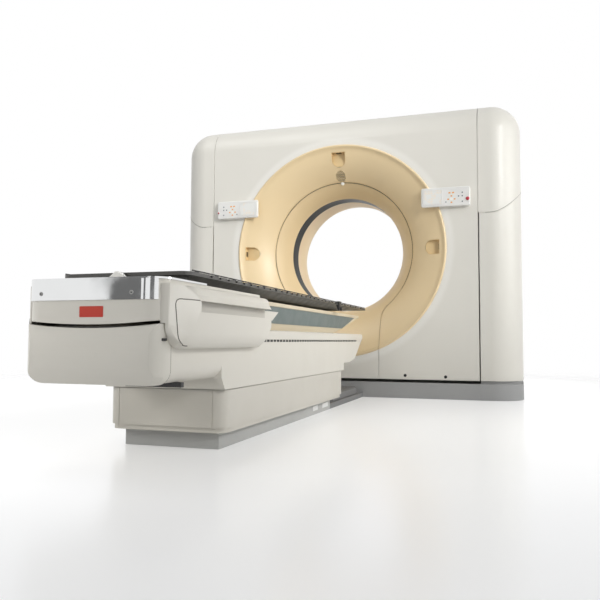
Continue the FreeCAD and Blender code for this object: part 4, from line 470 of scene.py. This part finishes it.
def surfaceOf(name):
    mesh = nodes[name].data
    faces = [face.vertices for face in mesh.polygons]
    return BVHTree.FromPolygons([point.co for point in mesh.vertices], faces)


# where a level line towards the gantry meets a surface
def metFromFront(surface, x, z):
    spot, normal, index, reach = surface.ray_cast(Vector((x, -2, z)), Vector((0, 1, 0)))
    return spot, normal if normal.y < 0 else -normal


# keys as x, z, width and height on the right panel; the left one is its mirror image
panel = {
    "keys": {
        "orange": [(0.791, 1.3875, 0.011, 0.007), (0.8152, 1.3875, 0.011, 0.007),
                   (0.8033, 1.3655, 0.009, 0.007), (0.7818, 1.3440, 0.009, 0.007),
                   (0.8248, 1.3440, 0.009, 0.007), (0.8033, 1.3222, 0.009, 0.007)],
        "grey": [(0.875, 1.3857, 0.007, 0.007), (0.8508, 1.3624, 0.007, 0.007), (0.875, 1.3624, 0.007, 0.007),
                 (0.875, 1.3246, 0.007, 0.007), (0.7669, 1.3259, 0.006, 0.006)],
        "pale": [(0.8033, 1.3440, 0.014, 0.014)],
    },
    "paints": {
        "orange": plastic("key_orange", tone(234, 166, 78), 0.4),
        "grey": plastic("key_grey", tone(112, 118, 122), 0.45),
        "pale": plastic("key_pale", tone(240, 239, 234), 0.35),
    },
    "keyScale": 1.3,
    "keyForm": {"depth": 0.0012, "corner": 0.003, "edge": 0.0004, "steps": 4},
    "face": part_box("control_panel_right")[0][1],
    "display": (0.678, 1.3625),
    "displayCorner": 0.006,
    "displayFrame": [(0.132, 0.107, 0), (0.132, 0.107, 0.0016), (0.1288, 0.1038, 0.0024),
                     (0.123, 0.098, 0.0024), (0.1215, 0.0965, 0.0012)],
    "stopButton": {"right": (0.9095, 1.0), "left": (-0.915, 0.5)},
    "stopHeight": 1.3425,
    "stopDome": [(0.0125, 0), (0.0125, 0.002), (0.0105, 0.004), (0.0105, 0.0065), (0.0095, 0.0085),
                 (0.006, 0.0098), (0.001, 0.0102)],
    "stopCollar": [(0.0155, 0), (0.0155, 0.0014), (0.0145, 0.002), (0.0128, 0.002)],
}


def panelKeys(side, label):
    for colour, spots in panel["keys"].items():
        forms = []
        for x, z, wide, high in spots:
            key = plate(wide * panel["keyScale"], high * panel["keyScale"], **panel["keyForm"])
            forms.append(placed(key, (x * side, panel["face"], z)))
        addPiece(f"keys_{colour}_{label}", joined(*forms), panel["paints"][colour], "gantry")


def displayFrame(side, label):
    x, z = panel["display"]
    outlines = [[(across, up, level) for across, up in roundedOutline(wide, high, panel["displayCorner"])]
                for wide, high, level in panel["displayFrame"]]
    points, faces = stacked(outlines)
    frameForm = placed((points, faces[1:-1]), (x * side, panel["face"], z))
    addPiece(f"display_frame_{label}", frameForm, finishes["panel_white"], "gantry")


# the left panel's stop button is the smaller one
def stopButton(label):
    x, share = panel["stopButton"][label]
    spot = (x, panel["face"], panel["stopHeight"])
    red = plastic(f"stop_red_{label}", tone(178, 34, 52), 0.3)
    for part, paint in (("button", red), ("collar", panel["paints"]["pale"])):
        form = lathed(panel["stopDome"] if part == "button" else panel["stopCollar"], 28)
        sized = [(across * share, up * share, level) for across, up, level in form[0]]
        addPiece(f"stop_{part}_{label}", placed((sized, form[1]), spot), paint, "gantry")


# each screw has a rolled head and a six-sided socket
screws = {
    "gantry": {"body": "gantry", "radius": 0.0085, "y": -0.3402,
               "at": [(0.479, 0.152), (-0.479, 0.152), (0.751, 0.147), (-0.751, 0.147)]},
    "band": {"body": "table_body", "radius": 0.0052, "y": -3.2184, "at": [(-0.170, 0.5255), (0.145, 0.5255)]},
}


def screwForms(radius):
    rim = [(radius * 1.25, 0), (radius * 1.25, radius * 0.12), (radius, radius * 0.3),
           (radius * 0.62, radius * 0.34)]
    bore = [(radius * 0.5, radius * 0.3), (radius * 0.5, radius * 0.36), (radius * 0.34, radius * 0.37)]
    return lathed(rim, 20), lathed(bore, 6)


def coverScrews():
    steel = bareMetal("screw_steel", tone(150, 150, 148), 0.3)
    # near-black, painted shade for hollows: on every socket, and on the gantry's screw heads
    hollow = plastic("screw_hollow_shade", tone(24, 24, 24), 0.6)
    paints = {"gantry": hollow, "band": steel}
    for name, screw in screws.items():
        head, socket = screwForms(screw["radius"])
        places = [(x, screw["y"], z) for x, z in screw["at"]]
        heads = joined(*[placed(head, at) for at in places])
        sockets = joined(*[placed(socket, at) for at in places])
        addPiece(f"{name}_screws", heads, paints[name], screw["body"])
        addPiece(f"{name}_screw_sockets", sockets, hollow, screw["body"])


# the rail for the straps along each edge of the tabletop, held by short posts
strapRail = {"x": (0.2345, 0.2388), "y": (-3.02, -0.52), "z": (0.6055, 0.6095), "edge": 0.0012}
railPost = {"first": -2.9877, "pitch": 0.148, "count": 17, "half": 0.011, "z": (0.6005, 0.607),
            "edge": 0.0008}


def strapRails(side, label, paint):
    low, high = sorted(side * x for x in strapRail["x"])
    starts, ends = zip(strapRail["y"], strapRail["z"])
    forms = [bar((low, *starts), (high, *ends), strapRail["edge"])]
    for index in range(railPost["count"]):
        y = railPost["first"] + railPost["pitch"] * index
        foot = (low, y - railPost["half"], railPost["z"][0])
        head = (high, y + railPost["half"], railPost["z"][1])
        forms.append(bar(foot, head, railPost["edge"]))
    addPiece(f"strap_rail_{label}", joined(*forms), paint, "slider")


# the track in the body's side: a near-black strip, painted shade for the slot, with pale teeth showing in it
sideTrack = {"x": (0.2330, 0.2362), "sink": (0.001, 0.0012), "y": (-2.46, -0.772), "z": (0.3812, 0.3908)}
trackTooth = {"first": -2.44, "pitch": 0.0389, "count": 43, "long": 0.008, "z": (0.3815, 0.3905)}


def sideTracks(side, label, paint, toothPaint):
    low, high = sorted(side * x for x in sideTrack["x"])
    starts, ends = zip(sideTrack["y"], sideTrack["z"])
    # painted shade: the near-black strip sits just inside the surface and stands for the shade in the slot
    strip = bar((low - sideTrack["sink"][0] * side, *starts), (high - sideTrack["sink"][1] * side, *ends))
    addPiece(f"side_track_{label}", strip, paint, "table_body")
    teeth = []
    for index in range(trackTooth["count"]):
        y = trackTooth["first"] + trackTooth["pitch"] * index
        teeth.append(bar((low, y, trackTooth["z"][0]), (high, y + trackTooth["long"], trackTooth["z"][1])))
    addPiece(f"side_track_teeth_{label}", joined(*teeth), toothPaint, "table_body")


# bare plates with no writing, each with its place, width and height
barePlates = {"depth": 0.0009, "corner": 0.002, "edge": 0.0003}
endPlate = {"at": (0.0075, -3.2152, 0.4705), "size": (0.082, 0.0325)}
plinthPlates = {"x": 0.1901, "z": 0.0315, "high": 0.024, "along": [(-1.512, 0.09), (-1.325, 0.11)]}


def blankPlates():
    red = plastic("plate_red", tone(192, 58, 42), 0.35)
    white = plastic("plate_white", tone(226, 226, 224), 0.4)
    thin = barePlates["depth"], barePlates["corner"], barePlates["edge"]
    end = placed(plate(*endPlate["size"], *thin), endPlate["at"])
    addPiece("end_plate", end, red, "table_body")
    tags = []
    for y, wide in plinthPlates["along"]:
        spot = (plinthPlates["x"], y, plinthPlates["z"])
        tags.append(placed(plate(wide, plinthPlates["high"], *thin), spot, (1, 0, 0)))
    addPiece("plinth_plates", joined(*tags), white, "base")


# the white catch above the funnel's joint
catch = {"x": 0.004, "z": 1.545,
         "profile": [(0.013, -0.004), (0.013, 0.004), (0.0105, 0.007), (0.005, 0.0078), (0.0045, 0.005)]}


def funnelCatch():
    spot, normal = metFromFront(surfaceOf("front_funnel"), catch["x"], catch["z"])
    form = lathed(catch["profile"], 24)
    addPiece("funnel_catch", placed(form, spot, normal), finishes["latch_white"], "gantry")


# a thin tube: a round section carried along a line
def lineTube(points, radius, steps=8):
    path = np.array(points)
    along = np.gradient(path, axis=0)
    along /= np.linalg.norm(along, axis=1)[:, None]
    side = np.cross(along, (1.0, 0, 0))
    side /= np.linalg.norm(side, axis=1)[:, None]
    over = np.cross(side, along)
    turn = np.linspace(0, math.tau, steps, endpoint=False)
    rings = path[:, None] + radius * (np.cos(turn)[None, :, None] * side[:, None]
                                      + np.sin(turn)[None, :, None] * over[:, None])
    return stacked([[tuple(point) for point in ring] for ring in rings.tolist()])


# a line with its corners bent, each over its own reach
def bent(corners, reaches, steps=6):
    corners = [np.array(corner) for corner in corners]
    path = [corners[0]]
    for before, corner, after, reach in zip(corners, corners[1:], corners[2:], reaches):
        start = corner + (before - corner) * reach / np.linalg.norm(before - corner)
        end = corner + (after - corner) * reach / np.linalg.norm(after - corner)
        for share in np.linspace(0, 1, steps):
            path.append((1 - share) ** 2 * start + 2 * share * (1 - share) * corner + share ** 2 * end)
    return np.array(path + [corners[-1]])


# the same line with its points evenly spaced
def evenly(path, count):
    run = np.concatenate([[0], np.cumsum(np.linalg.norm(np.diff(path, axis=0), axis=1))])
    at = np.linspace(0, run[-1], count)
    return np.column_stack([np.interp(at, run, path[:, axis]) for axis in range(path.shape[1])])


# the pouch's outline from the side, laid on the cover, and nudged inwards where it runs past the rounded end
pouch = {"corners": ((-3.062, 0.5088), (-3.1472, 0.5103), (-3.1712, 0.3716), (-3.1204, 0.3703)),
         "bends": (0.02, 0.032), "nudge": 0.0004, "seam": 0.0016, "points": 36}


def pouchLine():
    surface = surfaceOf("side_cover_right")
    line = []
    for y, z in evenly(bent(pouch["corners"], pouch["bends"]), pouch["points"]):
        spot = None
        while spot is None:
            spot = surface.ray_cast(Vector((0.5, y, z)), Vector((-1, 0, 0)))[0]
            y += pouch["nudge"]
        line.append(tuple(spot))
    return line


# the joint between end cover and body: down the side, round the corner and to the middle of the underside
footSeam = {"x": 0.2401, "y": -3.1532, "levels": (0.435, 0.42, 0.40, 0.37, 0.34, 0.31, 0.30),
            "bend": 0.0461, "turns": (0.15, math.pi / 2, 8), "under": (0.1, 0.0), "radius": 0.0007}


def footLine(side):
    corner = footSeam["x"] - footSeam["bend"]
    last = footSeam["levels"][-1]
    line = [(footSeam["x"] * side, footSeam["y"], level) for level in footSeam["levels"]]
    for turn in np.linspace(*footSeam["turns"]):
        across = corner + footSeam["bend"] * math.cos(turn)
        line.append((across * side, footSeam["y"], last - footSeam["bend"] * math.sin(turn)))
    return line + [(across * side, footSeam["y"], last - footSeam["bend"]) for across in footSeam["under"]]


def coverSeams():
    dark = plastic("pouch_groove_shade", tone(96, 92, 82), 0.6)
    seamGrey = plastic("seam_grey", tone(140, 136, 126), 0.6)
    pouchEdge = pouchLine()
    for side, label in sides:
        line = [(x if side > 0 else behindBand(-x, y), y, z) for x, y, z in pouchEdge]
        # painted shade: a dark tube along the pouch's outline stands for the shade in its groove
        addPiece(f"pouch_seam_{label}", lineTube(line, pouch["seam"]), dark, "table_body")
        foot = lineTube(footLine(side), footSeam["radius"])
        addPiece(f"foot_seam_{label}", foot, seamGrey, "table_body")


# near-black pieces as two corners and an edge: a soft guard at the foot's side, and a block filling the gap
# under the body's overhang
guards = {
    "foot_bumper": ((0.2310, -3.1940, 0.385), (0.2440, -3.1820, 0.393), 0.0015),
    "overhang_block": ((0.03, -3.062, 0.2425), (0.2266, -3.044, 0.2585), 0.002),
}


def softGuards():
    for name, corners in guards.items():
        addPiece(name, bar(*corners), finishes["clamp_grey"], "table_body")


# the joint between dish and funnel, from one edge of the table's way over the top to the other, in degrees
dishJoint = {"radius": 0.5165, "turns": (-122, 122, 62), "seam": 0.0014}


def dishSeam():
    brown = plastic("seam_brown", tone(74, 64, 44), 0.6)
    surface = surfaceOf("front_dish")
    ring = []
    for turn in np.radians(np.linspace(*dishJoint["turns"])):
        across = dishJoint["radius"] * math.sin(turn)
        level = boreHeight + dishJoint["radius"] * math.cos(turn)
        ring.append(tuple(metFromFront(surface, across, level)[0]))
    addPiece("dish_seam", lineTube(ring, dishJoint["seam"]), brown, "gantry")


# the lower edge of each side cap, felt for by level lines from all round a centre inside the cap
capEdge = {"centre": 0.985, "turns": (-91, 50, 60), "from": 0.6, "reach": 0.42, "levels": (1.2, 1.7),
           "halvings": 14, "seam": 0.0011}


def lowestHit(surface, side, turn):
    ahead = Vector((side * math.cos(turn), math.sin(turn), 0))
    low, high = capEdge["levels"]
    found = None
    for _ in range(capEdge["halvings"]):
        level = (low + high) / 2
        start = Vector((side * capEdge["centre"], 0, level)) + ahead * capEdge["from"]
        spot = surface.ray_cast(start, -ahead, capEdge["reach"])[0]
        if spot is None:
            low = level
        else:
            high, found = level, tuple(spot)
    return found


def capSeams():
    grey = plastic("cap_gap_shade", tone(128, 125, 116), 0.6)
    for side, label in sides:
        surface = surfaceOf(f"side_cap_{label}")
        spots = [lowestHit(surface, side, turn) for turn in np.radians(np.linspace(*capEdge["turns"]))]
        edge = [spot for spot in spots if spot is not None]
        # painted shade: a grey tube along the cap's edge stands for the shade in the gap to the tower cover
        addPiece(f"cap_seam_{label}", lineTube(edge, capEdge["seam"]), grey, "gantry")


for side, label in sides:
    panelKeys(side, label)
    displayFrame(side, label)
    stopButton(label)
coverScrews()
# near-black, for the strap rails and as painted shade in the side track's slot
darkTrimAndSlotShade = plastic("trim_dark_and_slot_shade", tone(34, 34, 34), 0.5)
trimPale = plastic("trim_pale", tone(214, 210, 199), 0.4)
for side, label in sides:
    strapRails(side, label, darkTrimAndSlotShade)
    sideTracks(side, label, darkTrimAndSlotShade, trimPale)
blankPlates()
funnelCatch()
coverSeams()
softGuards()
dishSeam()
capSeams()
print("trim")


lighting = {
    "sky": (0.97, 0.985, 1, 1),
    "skyStrength": 0.38,
    "lamps": {
        "overhead": {"at": (-1.5, -2.3, 4.4), "aim": (-1.1, -0.6, 0.8), "size": (2.6, 1.8), "power": 35,
                     "spread": 180, "mirrored": True},
        "key": {"at": (4.6, -4.6, 3.2), "aim": (-2.0, -0.3, 1.2), "size": (2.0, 2.0), "power": 29,
                "spread": 48, "mirrored": True},
        "left": {"at": (-1.4, -4.0, 0.9), "aim": (-0.4, -3.2, 0.4), "size": (0.5, 0.5), "power": 7,
                 "spread": 150, "mirrored": False},
        "back": {"at": (2.0, 2.8, 1.5), "aim": (-0.3, 0.2, 1.0), "size": (1.2, 1.2), "power": 17,
                 "spread": 120, "mirrored": False},
        "side": {"at": (3.8, -0.9, 1.8), "aim": (0.2, -1.2, 0.5), "size": (1.6, 2.0), "power": 26,
                 "spread": 140, "mirrored": True},
    },
}


# white where the camera, glass or a polished face looks past the machine, and a soft sky for its light
def studioSky():
    world = bpy.data.worlds.new("studio")
    bpy.context.scene.world = world
    world.use_nodes = True
    tree = world.node_tree
    tree.nodes.clear()
    path = tree.nodes.new("ShaderNodeLightPath")
    seen = path.outputs["Is Camera Ray"]
    for kind in ("Is Transmission Ray", "Is Glossy Ray"):
        either = tree.nodes.new("ShaderNodeMath")
        either.operation = "MAXIMUM"
        tree.links.new(seen, either.inputs[0])
        tree.links.new(path.outputs[kind], either.inputs[1])
        seen = either.outputs[0]
    choose = tree.nodes.new("ShaderNodeMixShader")
    tree.links.new(seen, choose.inputs[0])
    for slot, colour, strength in ((1, lighting["sky"], lighting["skyStrength"]), (2, (1, 1, 1, 1), 1)):
        light = tree.nodes.new("ShaderNodeBackground")
        light.inputs["Color"].default_value = colour
        light.inputs["Strength"].default_value = strength
        tree.links.new(light.outputs[0], choose.inputs[slot])
    out = tree.nodes.new("ShaderNodeOutputWorld")
    tree.links.new(choose.outputs[0], out.inputs["Surface"])
    bpy.context.scene.view_settings.view_transform = "Standard"


def studioLamps():
    for name, lamp in lighting["lamps"].items():
        light = bpy.data.lights.new(name, "AREA")
        light.shape = "RECTANGLE"
        light.size, light.size_y = lamp["size"]
        light.energy = lamp["power"]
        light.spread = math.radians(lamp["spread"])
        item = bpy.data.objects.new(name, light)
        item.location = lamp["at"]
        item.rotation_euler = (Vector(lamp["aim"]) - Vector(lamp["at"])).to_track_quat("-Z", "Y").to_euler()
        item.visible_glossy = lamp["mirrored"]
        bpy.context.scene.collection.objects.link(item)


def stageSheet(name, corners, material):
    mesh = bpy.data.meshes.new(name)
    mesh.from_pydata(corners, [], [(0, 1, 2, 3)])
    mesh.materials.append(material)
    item = bpy.data.objects.new(name, mesh)
    bpy.context.scene.collection.objects.link(item)
    return item


# pale floor that fades out into the white background
studioFloor = {"half": 12, "z": -0.001, "middle": -1.2, "fade": (2.2, 6.0), "glow": 0.2}


def floor():
    g = Graph("studio_floor")
    ahead = g.y - studioFloor["middle"]
    reach = (g.x * g.x + ahead * ahead) ** 0.5
    cover = reach.step(*studioFloor["fade"], 1.0, 0.0)
    seen = g.node("ShaderNodeLightPath")
    material = g.finish(Base_Color=(0.97, 0.97, 0.97), Roughness=0.22, Alpha=cover, Emission_Color=(1, 1, 1),
                        Emission_Strength=seen * studioFloor["glow"])
    half, z = studioFloor["half"], studioFloor["z"]
    stageSheet("floor", [(-half, -half, z), (half, -half, z), (half, half, z), (-half, half, z)], material)


# dark cards behind the camera, which the polished band mirrors
cards = {"y": -9, "z": (0.6, 1.6), "x": [(-3.86, -3.08), (-1.5, -0.5), (1.9, 4.6)],
         "grey": (0.14, 0.14, 0.14)}


def darkCards():
    dark = Graph("card_black").finish(Base_Color=(0, 0, 0), Emission_Color=cards["grey"], Emission_Strength=1)
    y = cards["y"]
    bottom, top = cards["z"]
    for index, (low, high) in enumerate(cards["x"]):
        corners = [(low, y, bottom), (high, y, bottom), (high, y, top), (low, y, top)]
        stageSheet(f"dark_card_{index}", corners, dark).visible_camera = False


# the photograph's view: angles in radians, focal length in pixels of its width
view = {"at": (1.199, -4.8786, 0.3888), "yaw": 0.315, "pitch": 0.0609, "roll": 0.0045, "focal": 659.9,
        "width": 600, "sensor": 36}


def camera():
    yaw, pitch, roll = view["yaw"], view["pitch"], view["roll"]
    ahead = Vector((-math.sin(yaw) * math.cos(pitch), math.cos(yaw) * math.cos(pitch), math.sin(pitch)))
    right = Vector((math.cos(yaw), math.sin(yaw), 0))
    up = right.cross(ahead)
    side = right * math.cos(roll) + up * math.sin(roll)
    top = up * math.cos(roll) - right * math.sin(roll)
    data = bpy.data.cameras.new("camera")
    data.sensor_width = view["sensor"]
    data.lens = view["focal"] * view["sensor"] / view["width"]
    data.clip_start = 0.05
    item = bpy.data.objects.new("camera", data)
    turn = Matrix((side, top, -ahead)).transposed().to_4x4()
    item.matrix_world = Matrix.Translation(view["at"]) @ turn
    bpy.context.scene.collection.objects.link(item)
    bpy.context.scene.camera = item


studioSky()
studioLamps()
floor()
darkCards()
camera()
print("studio")
